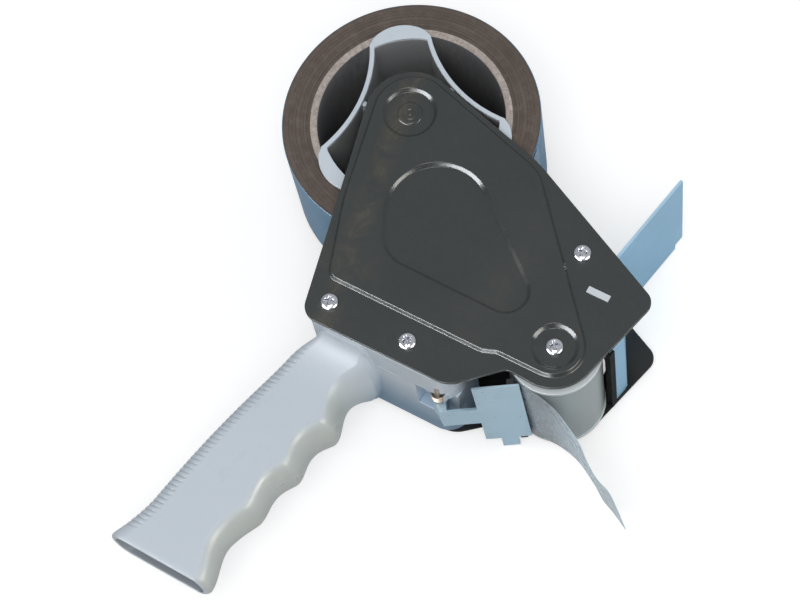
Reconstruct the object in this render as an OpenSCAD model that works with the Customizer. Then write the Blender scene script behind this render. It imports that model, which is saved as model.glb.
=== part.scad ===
// Hand-held packing tape dispenser, lying on its side.
// The hub axis is the Z axis, and Z = 0 is the surface that the dispenser rests on.
// +X runs forward along the base edge of the side plates, +Y away from the handle.

/* [Tape] */
// Width of the tape
tape_w = 50; // [46:1:52]
// Inner diameter of the cardboard core
core_bore_d = 76.2; // [75.6:0.1:77]
// Wall of the cardboard core
core_wall = 2.9; // [2:0.1:4]
// Depth of the tape wound on the core
wound_depth = 11.4; // [2:0.1:15]
// Thickness of the loose tape
film_t = 0.4; // [0.3:0.05:0.6]
// Length of the free end of the tape
tail_len = 59; // [40:1:70]

/* [Side plates] */
// From the hub axis to the front corner, along the base edge
reach = 124.6; // [120:0.2:132]
// From the hub axis to the base edge
drop = 95.2; // [92:0.2:100]
// Thickness of the sheet steel
sheet_t = 1.2; // [1:0.1:1.5]
// Height of the pressed panel over the rim of the plate
emboss_h = 1.5; // [1:0.1:2]
// Free space between the two side plates
inner_gap = 56.6; // [56:0.2:60]
// Radius of the round top of the near plate
crown_r = 19.6; // [18:0.2:21]
// Radius of the loading cut-out in the far plate
loading_r = 60; // [58:0.5:64]

/* [Hub] */
// Wall of the three-lobed spool
spool_wall = 1.9; // [1.5:0.1:2.4]
// Distance from the axis to the waist between two lobes
waist_r = 23; // [21:0.5:25]
// Half of the angle that a lobe spans
lobe_half = 19.5; // [17:0.5:22]
// How far a lobe's lip reaches over the core
lip_reach = 4.4; // [3:0.1:4.8]
// Thickness of the lips
lip_t = 1.5; // [1:0.1:1.6]
// Radius of the axle
axle_r = 4; // [3.5:0.1:4.5]
// Radius of the recess for the brake
brake_pocket_r = 17; // [16:0.5:18]
// Depth of the brake recess, from the far end of the spool
brake_pocket_depth = 13; // [12.4:0.2:16]

/* [Brake] */
// Radius of the brake knob
knob_r = 13.5; // [12:0.25:14]
// Height of the brake knob
knob_h = 8; // [7:0.25:9]
// Number of finger scallops on the brake knob
knob_scallops = 8; // [6:1:10]
// Wire of the brake spring
brake_wire_d = 1.4; // [1.2:0.1:1.6]
// Mean radius of the brake spring
brake_coil_r = 7.6; // [7:0.1:8.4]
// Turns of the brake spring
brake_turns = 4; // [3:1:4]

/* [Roller] */
// Outer radius of the roller's sleeve
sleeve_r = 17.9; // [17:0.1:18.4]
// Inner radius of the roller's sleeve
roller_core_r = 15.4; // [14.4:0.1:16]
// How far the white end rims stand over the sleeve
rim_lift = 0.5; // [0.3:0.05:0.7]
// Width of each end rim
rim_w = 1.7; // [1.4:0.1:2]

/* [Handle] */
// Length of the grip below the base edge
grip_len = 106; // [98:1:115]
// Half thickness of the grip
grip_half_t = 14.5; // [13:0.25:15.5]
// Wall of the hollow grip
grip_wall = 3; // [2.4:0.1:3.4]
// Distance from one finger ridge to the next
finger_pitch = 21.25; // [19:0.25:23]
// Depth of the finger grooves
finger_depth = 4.3; // [3:0.1:5]

/* [Retainer] */
// Length of the retainer plate, along its slope
retainer_len = 18.4; // [17:0.2:19]
// Width of the retainer plate
retainer_w = 47.6; // [44:0.2:48]
// Width of its tongue
tongue_w = 13; // [11:0.5:14]
// Thickness of the retainer plate
retainer_t = 1; // [0.8:0.1:1.2]
// Slope of the plate against the base edge, in degrees
retainer_slope = 31.6; // [30:0.2:32.4]
// How far the plate droops towards its far end, in degrees
retainer_droop = 3.8; // [0:0.1:5]
// How far the plate is turned in its own plane, in degrees
retainer_turn = 3; // [0:0.1:4]

/* [Cutter] */
// Length of the blade between its lip and the tips of its teeth
blade_h = 9.8; // [9:0.1:10.4]
// Thickness of the blade
blade_t = 0.8; // [0.6:0.1:0.9]
// Distance from one tooth to the next
tooth_pitch = 2.5; // [2:0.1:3.5]
// Height of a tooth
tooth_h = 1.6; // [1.2:0.1:2.2]
// Length of the front flap over the cross shelf
flap_len = 59.5; // [50:0.5:64]
// Thickness of the front flap
flap_t = 1.2; // [1:0.1:1.5]

/* [Screws] */
// Radius of a screw head
head_r = 3.6; // [3.4:0.1:4]
// Height of a screw head
head_h = 2.4; // [2:0.1:2.8]
// Radius of a screw shank
shank_r = 1.95; // [1.7:0.05:2.1]
// Length of a screw shank under its head
shank_len = 12; // [10:0.5:14]

/* [Hidden] */
$fn = 72;

// Clearances and finishing sizes
face_gap = 0.3;
run_gap = 0.05;
hole_gap = 0.15;
cut = 1;
edge_r = 0.5;

// Outer diameter of the tape roll
roll_d = core_bore_d + 2 * core_wall + 2 * wound_depth;

// Heights over the resting surface
plate_z = inner_gap / 2;
mid_z = plate_z + sheet_t + head_h;
tape_z = tape_w / 2;
spool_near_z = tape_z + lip_t;
spool_far_z = -tape_z + face_gap;
pocket_z = spool_far_z + brake_pocket_depth;
pocket_floor_t = 2.5;
washer_t = 1.2;
pad_t = 1.5;

// A point between the plates, as shares of the plate's reach and drop
function at(share) = [share.x * reach, share.y * drop];

// Places of the pieces that join the plates, from the hub axis
roller_share = [0.7945, -0.6534];
spacer_share = [0.7231, -0.2405];
handle_screw_shares = [[0.1003, -0.9], [0.382, -0.905]];
roller_at = at(roller_share);
spacer_at = at(spacer_share);

// Outlines of the side plates: corners as shares, and their fillets
near_outline_shares = [[-0.2079, 0.282], [-0.0735, -0.399], [0.0401, -1], [0.5602, -0.996],
                       [0.6998, -0.824], [0.898, -0.8393], [1, -0.294], [0.4494, 0.045]];
near_fillets = [crown_r * 0.94, crown_r * 6, crown_r * 0.38, crown_r * 0.6, crown_r * 0.26, crown_r * 0.9,
                crown_r * 0.31, crown_r * 2];
far_outline_shares = [[-0.03, -0.55], [0.0401, -1], [0.5402, -0.99], [0.6998, -0.812],
                      [0.904, -0.8393], [1.006, -0.294], [0.578, -0.036], [0.4, -0.35]];
far_fillets = [0, crown_r * 0.38, crown_r * 0.6, crown_r * 0.26, crown_r * 0.9, crown_r * 0.31,
               crown_r * 0.4, 0];
panel_shares = [[-0.1565, 0.2332], [-0.033, -0.4664], [0.057, -0.7941], [0.6, -0.7941],
                [0.645, -0.771], [0.9932, -0.771], [0.4655, -0.0032]];
panel_fillets = [crown_r * 0.755, crown_r * 4, crown_r * 0.22, crown_r * 0.3, crown_r * 0.3,
                 crown_r * 0.57, crown_r];
recess_shares = [[0.2488, -0.3466], [0.2408, -0.4622], [0.5738, -0.5305]];
recess_r = [crown_r * 0.995, crown_r * 0.714, crown_r * 0.4];
hub_recess_r = crown_r * 0.56;
roller_recess_r = crown_r * 0.475;
far_bead_shares = [[0.7945, -0.6534], [0.72, -0.4], [0.4, -0.76]];
far_bead_r = [crown_r * 0.57, crown_r * 0.4, crown_r * 0.3];
slot_share = [0.8307, -0.3676];
slot_l = 9.8;
slot_h = 3.2;
slot_at = at(slot_share);

// Hub: lobes, lips and webs
lobe_count = 3;
lobe_turn = 6.5;
lobe_r = core_bore_d / 2 - face_gap;
lip_top_r = core_bore_d / 2 + lip_reach;
lip_arc_r = lip_top_r * 0.38;
tube_r = axle_r * 2;
web_t = spool_wall;
web_top_z = spool_near_z - axle_r;
web_nub_r = spool_wall * 0.6;
disc_t = 2;
flange_r = axle_r * 1.9;

// Brake stack, from the pocket's floor outwards
knob_top_z = -mid_z + knob_h;
pad_r = brake_pocket_r - axle_r;
pad_far_z = pocket_z - face_gap - pad_t;
washer_far_z = pad_far_z - washer_t;
brake_rise = washer_far_z - knob_top_z - brake_wire_d;
brake_pitch = brake_rise / brake_turns;
coil_rings = 8;
wire_sides = 6;

// Roller
rim_r = sleeve_r + rim_lift;
sleeve_z = tape_z + face_gap;
rim_z = sleeve_z + rim_w;
roller_bore_r = axle_r + run_gap;
web_disc_t = 2.5;

// Route of the loose tape: from the roll, across to the roller, round it and out
roll_path_r = roll_d / 2 + face_gap + film_t / 2;
roller_path_r = sleeve_r + face_gap + film_t / 2;
axes_dist = norm(roller_at);
axes_angle = atan2(roller_at.y, roller_at.x);
cross_angle = acos((roll_path_r + roller_path_r) / axes_dist);
peel_lag = 15;
leave_angle = axes_angle + cross_angle - peel_lag;
leave_at = roll_path_r * [cos(leave_angle), sin(leave_angle)];
leave_away = leave_at - roller_at;
meet_angle = atan2(leave_away.y, leave_away.x) + acos(roller_path_r / norm(leave_away));
peel_angle = 257;
wrap_steps = 12;
web_steps = 3;
band_cols = 6;
tail_x_shares = [0.1, 0.2, 0.287, 0.372, 0.459, 0.559, 0.649, 0.709, 0.769, 0.839, 0.929];
tail_y_shares = [-0.014, -0.03, -0.06, -0.095, -0.136, -0.191, -0.241, -0.272, -0.311, -0.356, -0.418];
tail_lean_x_shares = [0.08, 0.17, 0.242, 0.312, 0.284, 0.274, 0.224, 0.214, 0.214, 0.224, 0.249];
tail_lean_y_shares = [-0.01, -0.06, -0.124, -0.191, -0.245, -0.28, -0.25, -0.225, -0.22, -0.255, -0.307];

// Handle: a head between the plates and a grip below them
head_shares = [[0.07, -0.8], [0.07, -1], [0.565, -1], [0.565, -0.8]];
head_fillets = [0, grip_wall * 0.5, grip_wall * 3.2, grip_wall * 0.5];
grip_top_y = -drop - grip_wall * 0.5;
grip_mouth_y = grip_top_y - grip_len;
grip_rear_top = grip_half_t * 0.37;
grip_rear_fall = grip_half_t * 1.69;
grip_rear_bulge = grip_half_t * 0.16;
grip_rear_tuck = grip_half_t * 0.28;
grip_tuck_len = grip_half_t * 0.7;
rear_flare = grip_half_t * 0.32;
front_flare = grip_half_t * 0.33;
flare_share = 0.8;
rear_round = grip_half_t * 0.55;
front_round = grip_half_t * 0.42;
mouth_half = grip_half_t * 0.66;
taper_share = 0.35;
mouth_tilt = 0.021;
mouth_corner = grip_wall * 0.7;
mouth_wall_share = 0.6;
ridge_slope_share = 0.2214;
first_ridge_y = grip_top_y - grip_len * 0.2736;
first_ridge_x = grip_half_t * 2.39;
groove_shares = [1.25, 0.78, 0.62];
groove_top = -1.2;
neck_len = grip_half_t * 1.6;
neck_front_tuck = grip_half_t * 0.25;
grip_step_count = 45;
corner_step_count = 5;
hollow_step = 3;
arc_points = 16;
hollow_share = 0.8;

// Retainer: a sloping plate with a tongue that hinges in the handle's head
pin_r = 1.5;
eye_wall = 1.25;
eye_r = pin_r + run_gap + eye_wall;
hinge_share = [0.5104, -0.9832];
hinge_at = at(hinge_share);
slope_dir = [cos(retainer_slope), sin(retainer_slope)];
slope_up = [-sin(retainer_slope), cos(retainer_slope)];
retainer_tip_r = roller_path_r + film_t / 2 + face_gap;
retainer_tip_angle = 251;
retainer_tip = roller_at + retainer_tip_r * [cos(retainer_tip_angle), sin(retainer_tip_angle)];
tongue_end_s = (hinge_at - retainer_tip) * slope_dir - tape_z * sin(retainer_turn);
tongue_drop = tape_z * sin(retainer_droop);
slot_half_w = tongue_w / 2 + face_gap;
torsion_wire_d = 0.8;
torsion_coil_r = pin_r + torsion_wire_d + face_gap;
torsion_turns = 3;
torsion_start_angle = 60;
torsion_pitch = torsion_wire_d + 0.45 * sheet_t;
torsion_room = torsion_turns * torsion_pitch + torsion_wire_d * 2;
retainer_tab_w = retainer_len * 0.37;
retainer_tab_out = retainer_len * 0.42;
retainer_tab_s = retainer_len * 0.48;
pad_bar_w = 3;
pad_bar_t = 2.4;

// Cutter: the flap with its cross shelf, the mount under it and the blade
plate_fit = 0.2;
front_half_w = plate_z - plate_fit;
flap_slope = 80;
flap_dir = [cos(flap_slope), sin(flap_slope)];
shelf_y = slot_at.y;
shelf_back_x = slot_at.x - slot_l / 2;
shelf_front_x = reach * 0.915;
tab_fit = 0.2;
blade_room = 0.91;
blade_rise = 8.2;
blade_foot = roller_at + [rim_r + blade_room, blade_rise];
blade_slope = 79.6;
blade_dir = [cos(blade_slope), sin(blade_slope)];
blade_back = [-sin(blade_slope), cos(blade_slope)];
lip_h = blade_h * 0.18;
mount_t = 1;
mount_flange_x = shelf_back_x + slot_l * 0.6;
mount_flange_l = slot_l * 1.1;
mount_leg_h = blade_h * 0.52;
rivet_r = 1.6;
rivet_head_r = rivet_r * 1.7;
rivet_head_h = rivet_r * 0.5;
rivet_x = mount_flange_x + mount_flange_l / 2;

// Geometry helpers
function unit(v) = v / norm(v);
function turn_of(a, p, b) = (p.x - a.x) * (b.y - p.y) - (p.y - a.y) * (b.x - p.x);

// Points of a fillet at corner p between its neighbours a and b
function corner_arc(a, p, b, r) =
    let (u = unit(a - p), v = unit(b - p), half = acos(u * v) / 2,
         centre = p + unit(u + v) * r / sin(half),
         start = p + u * r / tan(half) - centre,
         finish = p + v * r / tan(half) - centre,
         from = atan2(start.y, start.x),
         sweep_angle = (atan2(finish.y, finish.x) - from + 540) % 360 - 180,
         steps = max(2, ceil(abs(sweep_angle) / 9)))
    [for (k = [0:steps]) centre + r * [cos(from + sweep_angle * k / steps), sin(from + sweep_angle * k / steps)]];

function filleted(pts, rads) =
    let (n = len(pts))
    [for (i = [0:n - 1]) each rads[i] == 0 ? [pts[i]]
        : corner_arc(pts[(i + n - 1) % n], pts[i], pts[(i + 1) % n], rads[i])];

// A counter-clockwise outline moved inwards by d, and its fillets to match
function inset(pts, d) =
    let (n = len(pts))
    [for (i = [0:n - 1])
        let (p = pts[i], e = unit(p - pts[(i + n - 1) % n]), f = unit(pts[(i + 1) % n] - p),
             ne = [-e.y, e.x], nf = [-f.y, f.x])
        p + (ne + nf) * d / (1 + ne * nf)];
function inset_fillets(pts, rads, d) =
    let (n = len(pts))
    [for (i = [0:n - 1])
        let (left = turn_of(pts[(i + n - 1) % n], pts[i], pts[(i + 1) % n]) > 0)
        max(0, rads[i] - (left ? d : -d))];

// Outline of a belt round circles that are listed counter-clockwise
function belt(centres, rads) =
    let (n = len(centres),
         normals = [for (i = [0:n - 1])
             let (d = centres[(i + 1) % n] - centres[i])
             atan2(d.y, d.x) - acos((rads[i] - rads[(i + 1) % n]) / norm(d))])
    [for (i = [0:n - 1])
        let (from = normals[(i + n - 1) % n], span = (normals[i] - from + 720) % 360,
             steps = max(2, ceil(span / 9)))
        for (k = [0:steps]) centres[i] + rads[i] * [cos(from + span * k / steps), sin(from + span * k / steps)]];

function places(shares) = [for (s = shares) at(s)];

// Everything is drawn about the roll's mid-plane and lifted onto the resting surface
module lift() {
    translate([0, 0, mid_z]) children();
}

module slab(points, z, t) {
    translate([0, 0, z]) linear_extrude(t) polygon(points);
}

module ring(outer_r, inner_r, z, t) {
    translate([0, 0, z]) difference() {
        cylinder(r = outer_r, h = t);
        translate([0, 0, -cut]) cylinder(r = inner_r, h = t + 2 * cut);
    }
}

module rod(r, z, h) {
    translate([0, 0, z]) cylinder(r = r, h = h);
}

// Triangles of a tube whose rings all have the same number of points
function tube_faces(rings, sides) = concat(
    [for (i = [1:sides - 2]) [0, i + 1, i]],
    [for (r = [0:rings - 2]) for (i = [0:sides - 1])
        let (a = r * sides + i, b = r * sides + (i + 1) % sides) each [[a, b, b + sides], [a, b + sides, a + sides]]],
    [for (i = [1:sides - 2]) let (last = (rings - 1) * sides) [last, last + i, last + i + 1]]);

module tube(path, r, sides) {
    n = len(path);
    points = [for (i = [0:n - 1])
        let (t = unit(path[min(i + 1, n - 1)] - path[max(i - 1, 0)]),
             side = unit(cross([0, 0, 1], t)), up = cross(t, side))
        for (k = [0:sides - 1]) path[i] + r * (side * cos(360 * k / sides) + up * sin(360 * k / sides))];
    polyhedron(points = points, faces = tube_faces(n, sides), convexity = 6);
}

// A helix about the Z axis whose ends run on straight for one wire diameter
function helix(r, z, pitch, turns, wire, from) =
    let (steps = turns * coil_rings,
         coil = [for (k = [0:steps]) let (a = from + 360 * k / coil_rings)
             [r * cos(a), r * sin(a), z + pitch * k / coil_rings]],
         first_run = unit(coil[0] - coil[1]), last_run = unit(coil[steps] - coil[steps - 1]))
    concat([coil[0] + [first_run.x, first_run.y, 0] * wire], coil,
           [coil[steps] + [last_run.x, last_run.y, 0] * wire]);

// Least distance between points of a coil that lie at least half a turn apart
function coil_clearance(path, wire) =
    min([for (i = [0:len(path) - 1]) for (j = [i + coil_rings / 2:1:len(path) - 1]) norm(path[i] - path[j])]) - wire;

module screw_holes(z, h, r) {
    for (p = concat(places(handle_screw_shares), [spacer_at, roller_at]))
        translate([p.x, p.y, 0]) rod(r, z, h);
}

// Near side plate: a rim, a pressed panel and the recesses in it
module near_side_plate() {
    rim = filleted(places(near_outline_shares), near_fillets);
    panel_pts = places(panel_shares);
    panel = filleted(panel_pts, panel_fillets);
    hollow = filleted(inset(panel_pts, sheet_t), inset_fillets(panel_pts, panel_fillets, sheet_t));
    recess_at = places(recess_shares);
    recess = belt(recess_at, recess_r);
    recess_wall = belt(recess_at, [for (r = recess_r) r + sheet_t]);
    rim_z = plate_z + sheet_t;
    color([0.26, 0.275, 0.275]) lift() difference() {
        union() {
            slab(rim, plate_z, sheet_t);
            slab(panel, plate_z, sheet_t + emboss_h);
        }
        difference() {
            slab(hollow, plate_z - cut, emboss_h + cut);
            slab(recess_wall, plate_z - 2 * cut, emboss_h + 4 * cut);
            rod(hub_recess_r + sheet_t, plate_z - 2 * cut, emboss_h + 4 * cut);
            translate([roller_at.x, roller_at.y, 0])
                rod(roller_recess_r + sheet_t, plate_z - 2 * cut, emboss_h + 4 * cut);
        }
        slab(recess, rim_z, emboss_h + cut);
        rod(hub_recess_r, rim_z, emboss_h + cut);
        translate([roller_at.x, roller_at.y, 0]) rod(roller_recess_r, rim_z, emboss_h + cut);
        rod(axle_r + run_gap, plate_z - cut, sheet_t + 2 * cut);
        screw_holes(plate_z - cut, sheet_t + 2 * cut, shank_r + hole_gap);
        translate([slot_at.x, slot_at.y, plate_z + sheet_t / 2])
            cube([slot_l, slot_h, sheet_t + 2 * cut], center = true);
    }
}

// Far side plate: open round the roll so that the roll slides on from this side
module far_side_plate() {
    rim = filleted(places(far_outline_shares), far_fillets);
    bead_at = places(far_bead_shares);
    bead = belt(bead_at, far_bead_r);
    bead_hollow = belt(bead_at, [for (r = far_bead_r) r - sheet_t]);
    color([0.2, 0.21, 0.21]) lift() mirror([0, 0, 1]) difference() {
        union() {
            slab(rim, plate_z, sheet_t);
            slab(bead, plate_z, sheet_t + emboss_h);
        }
        difference() {
            slab(bead_hollow, plate_z - cut, emboss_h + cut);
            translate([roller_at.x, roller_at.y, 0])
                rod(roller_recess_r + sheet_t, plate_z - 2 * cut, emboss_h + 4 * cut);
        }
        translate([roller_at.x, roller_at.y, 0]) rod(roller_recess_r, plate_z + sheet_t, emboss_h + cut);
        rod(loading_r, plate_z - cut, sheet_t + emboss_h + 2 * cut);
        screw_holes(plate_z - cut, sheet_t + 2 * cut, shank_r + hole_gap);
        translate([slot_at.x, slot_at.y, plate_z + sheet_t / 2])
            cube([slot_l, slot_h, sheet_t + 2 * cut], center = true);
    }
}

// Outline of the grip at height y, from its mouth up to the head
function down_share(y) = (grip_top_y - y) / grip_len;
function flare(y) = max(0, (down_share(y) - flare_share) / (1 - flare_share));
function grip_rear(y) =
    let (s = down_share(y), tuck = max(0, 1 - (grip_top_y - y) / grip_tuck_len))
    grip_rear_top - grip_rear_fall * s - grip_rear_bulge * sin(180 * max(0, s))
    - rear_flare * pow(flare(y), 1.6) + grip_rear_tuck * tuck * tuck;
function finger(y) =
    let (u = (first_ridge_y - y) / finger_pitch,
         mouth_u = (first_ridge_y - grip_mouth_y) / finger_pitch,
         part = u < 0 ? 1 - u / groove_top : u < 2 ? u - floor(u) : (u - 2) / (mouth_u - 2),
         share = u < 0 ? groove_shares[0] : u < 1 ? groove_shares[1] : groove_shares[2])
    u < groove_top ? 0 : share * pow(max(0, sin(180 * pow(min(1, part), 0.8))), 1.3);
function neck_share(y) = min(1, max(0, (y - grip_top_y + neck_len) / neck_len));
function grip_front(y) =
    let (f = flare(y))
    first_ridge_x - ridge_slope_share * (first_ridge_y - y) - finger_depth * finger(y)
    + front_flare * f * f * (3 - 2 * f) - neck_front_tuck * neck_share(y) * neck_share(y);
function grip_half(y) =
    let (taper = max(0, (down_share(y) - taper_share) / (1 - taper_share)))
    grip_half_t + (plate_z - edge_r - grip_half_t) * (1 - sqrt(1 - pow(neck_share(y), 2)))
    - (grip_half_t - mouth_half) * pow(taper, 1.5);

// Ring round the grip: quarter ellipses at its rear and front, and flats between them
function grip_ring(y, side_inset, half_inset) =
    let (rear = grip_rear(y) + side_inset, front = grip_front(y) - side_inset, half = grip_half(y) - half_inset,
         rear_r = rear_round - side_inset, front_r = front_round - side_inset, drift = mouth_tilt * pow(down_share(y), 4))
    [for (back = [0, 1]) for (k = [0:arc_points - 1])
        let (a = -90 + 180 * back + 180 * k / (arc_points - 1),
             x = back == 0 ? front - front_r + front_r * cos(a) : rear + rear_r + rear_r * cos(a))
        [x, y - drift * x, half * sin(a)]];

// Outer ring: its corners pull in next to the mouth
function outer_ring(y) =
    let (left = max(0, mouth_corner - (y - grip_mouth_y)),
         pull = mouth_corner - sqrt(max(0, pow(mouth_corner, 2) - pow(left, 2))))
    grip_ring(y, pull, pull * 0.3);

// Inner ring: the wall grows from the mouth up to the hollow's end
function inner_ring(y) =
    let (depth_share = (y - grip_mouth_y) / (grip_len * hollow_share))
    grip_ring(y, grip_wall, grip_wall * (mouth_wall_share + (1 - mouth_wall_share) * depth_share));

// Handle: one moulding, hollow and open at its lower end
module handle() {
    head = filleted(places(head_shares), head_fillets);
    sides = 2 * arc_points;
    step = grip_len / grip_step_count;
    bury = grip_wall;
    hollow_steps = floor(grip_step_count * hollow_share);
    corner_y = [for (k = [0:corner_step_count - 1])
        grip_mouth_y + mouth_corner * (1 - cos(90 * k / corner_step_count))];
    outer_y = [for (k = [1:grip_step_count]) grip_mouth_y + k * step];
    inner_y = [for (k = [hollow_steps:-hollow_step:0]) grip_mouth_y + k * step];
    rings = concat(
        [for (y = inner_y) inner_ring(y)],
        [for (y = concat(corner_y, outer_y)) outer_ring(y)],
        [[for (p = outer_ring(grip_top_y)) p + [0, bury, 0]]]);
    color([0.74, 0.78, 0.82]) lift() difference() {
        union() {
            slab(head, -plate_z, inner_gap);
            polyhedron(points = [for (r = rings) each r], faces = tube_faces(len(rings), sides), convexity = 8);
        }
        for (p = places(handle_screw_shares))
            translate([p.x, p.y, 0]) rod(shank_r + run_gap, -plate_z - cut, inner_gap + 2 * cut);
        translate([hinge_at.x, hinge_at.y, 0]) rod(pin_r + run_gap, -tongue_w, 2 * tongue_w + torsion_room);
        retainer_room();
    }
}

// Space in the handle's head for the tongue, its eye and the spring
module retainer_room() {
    front_x = head_shares[2].x * reach;
    low_y = head_shares[1].y * drop;
    eye_room = eye_r + face_gap;
    translate([hinge_at.x - eye_room * 3, low_y - cut, -slot_half_w])
        cube([front_x - hinge_at.x + eye_room * 3 + cut, hinge_at.y + eye_room - low_y + cut, 2 * slot_half_w]);
    translate([hinge_at.x - eye_room * 3, low_y - cut, 0])
        cube([eye_room * 4, hinge_at.y + eye_room - low_y + cut, slot_half_w + torsion_room]);
}

// Axle: a shouldered stud riveted into the near plate
module hub_axle() {
    color([0.75, 0.76, 0.78]) lift() {
        rotate_extrude() polygon([[0, -mid_z], [axle_r - edge_r, -mid_z], [axle_r, -mid_z + edge_r],
            [axle_r, plate_z - washer_t], [flange_r, plate_z - washer_t], [flange_r, plate_z], [axle_r, plate_z],
            [axle_r, plate_z + sheet_t], [axle_r * 0.95, plate_z + sheet_t + emboss_h * 0.5],
            [axle_r * 0.35, plate_z + sheet_t + emboss_h * 0.6], [0, plate_z + sheet_t + emboss_h * 0.3]]);
    }
}

module hub_washer() {
    top = plate_z - washer_t;
    color([0.85, 0.85, 0.82]) lift()
        ring(tube_r, axle_r + run_gap, spool_near_z - edge_r, top - spool_near_z + edge_r - run_gap);
}

// Wall outline of the spool at distance d inside its outer face
function spool_outline(d) =
    let (start = [lobe_r * cos(lobe_half), lobe_r * sin(lobe_half)],
         next = 360 / lobe_count,
         gap_mid = next / 2,
         chord_half = lobe_r * sin(gap_mid - lobe_half),
         chord_r = lobe_r * cos(gap_mid - lobe_half),
         sag = chord_r - waist_r,
         bow_r = (chord_half * chord_half + sag * sag) / (2 * sag),
         bow_half = asin(chord_half / bow_r),
         bow_at = waist_r + bow_r,
         lobe_trim = asin(d / lobe_r) + d / lobe_r * 30)
    [for (k = [0:lobe_count - 1]) each concat(
        [for (s = [-4:4]) let (a = k * next + s / 4 * (lobe_half - lobe_trim)) (lobe_r - d) * [cos(a), sin(a)]],
        [for (s = [-6:6]) let (a = k * next + gap_mid, b = a + 180 - s / 6 * (bow_half - lobe_trim / 3))
            bow_at * [cos(a), sin(a)] + (bow_r + d) * [cos(b), sin(b)]])];

// Three-lobed spool: walls, floor, bearing tube and webs
module hub_spool() {
    outer = spool_outline(0);
    inner = spool_outline(spool_wall);
    far_z = spool_far_z + disc_t;
    waist_turn = 180 / lobe_count;
    color([0.2, 0.21, 0.22]) lift() rotate(lobe_turn) difference() {
        union() {
            difference() {
                slab(outer, far_z, tape_z - far_z);
                slab(inner, far_z - cut, tape_z - far_z + 2 * cut);
            }
            slab(spool_outline(spool_wall / 2), pocket_z, pocket_floor_t);
            rod(tube_r, pocket_z, spool_near_z - edge_r - pocket_z);
            for (k = [0:lobe_count - 1]) rotate(k * 360 / lobe_count + waist_turn)
                translate([tube_r - spool_wall / 2, -web_t / 2, pocket_z])
                    cube([waist_r - tube_r, web_t, web_top_z - pocket_z]);
            for (k = [0:lobe_count - 1]) rotate(k * 360 / lobe_count + waist_turn)
                translate([waist_r - spool_wall - web_nub_r / 2, 0, 0])
                    rod(web_nub_r, pocket_z, web_top_z + axle_r / 2 - pocket_z);
        }
        rod(axle_r + run_gap, pocket_z - cut, spool_near_z - pocket_z + 2 * cut);
    }
}

// Pale rim on the spool's near edge, with a lip over the core at each lobe
module spool_rim() {
    lip_at = lip_top_r - lip_arc_r;
    color([0.78, 0.81, 0.84]) lift() rotate(lobe_turn) {
        difference() {
            slab(spool_outline(0), tape_z, lip_t);
            slab(spool_outline(spool_wall), tape_z - cut, lip_t + 2 * cut);
        }
        for (k = [0:lobe_count - 1]) rotate(k * 360 / lobe_count) lip(lip_at);
    }
}

// Crescent lip at the top of a lobe, which stops the core
module lip(lip_at) {
    difference() {
        translate([lip_at, 0, 0]) rod(lip_arc_r, tape_z, lip_t);
        rod(lobe_r - spool_wall / 2, tape_z - cut, lip_t + 2 * cut);
    }
}

// Dark end disc that closes the spool's far end and holds the brake's pocket
module hub_end_disc() {
    color([0.13, 0.13, 0.14]) lift() {
        ring(lobe_r, brake_pocket_r, spool_far_z, disc_t);
        ring(brake_pocket_r + spool_wall, brake_pocket_r, spool_far_z + disc_t, pocket_z - spool_far_z - disc_t);
    }
}

module brake_pad() {
    color([0.35, 0.33, 0.3]) lift() ring(pad_r, axle_r + run_gap, pad_far_z, pad_t);
}

module brake_washer() {
    color([0.72, 0.73, 0.75]) lift() ring(pad_r - face_gap, axle_r + run_gap, washer_far_z, washer_t);
}

module brake_spring() {
    path = helix(brake_coil_r, knob_top_z + brake_wire_d / 2, brake_pitch, brake_turns, brake_wire_d, 0);
    echo(brake_spring_least_gap = coil_clearance(path, brake_wire_d));
    color([0.7, 0.71, 0.73]) lift() tube(path, brake_wire_d / 2, wire_sides);
}

// Knob on the axle's threaded end
module brake_knob() {
    scallop_r = knob_r * 0.24;
    color([0.16, 0.16, 0.17]) lift() translate([0, 0, -mid_z]) difference() {
        rotate_extrude() polygon([[0, 0], [knob_r - 2 * edge_r, 0], [knob_r, 2 * edge_r],
            [knob_r, knob_h - 4 * edge_r], [knob_r - 3 * edge_r, knob_h], [0, knob_h]]);
        rod(axle_r + run_gap, -cut, knob_h + 2 * cut);
        for (k = [0:knob_scallops - 1]) rotate(k * 360 / knob_scallops)
            translate([knob_r + scallop_r * 0.5, 0, 0]) rod(scallop_r, -cut, knob_h + 2 * cut);
    }
}

module tape_core() {
    color([0.6, 0.54, 0.5]) lift() ring(core_bore_d / 2 + core_wall, core_bore_d / 2, -tape_z, tape_w);
}

module tape_roll() {
    color([0.35, 0.31, 0.28]) lift()
        ring(roll_d / 2, core_bore_d / 2 + core_wall + run_gap, -tape_z, tape_w);
}

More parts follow.
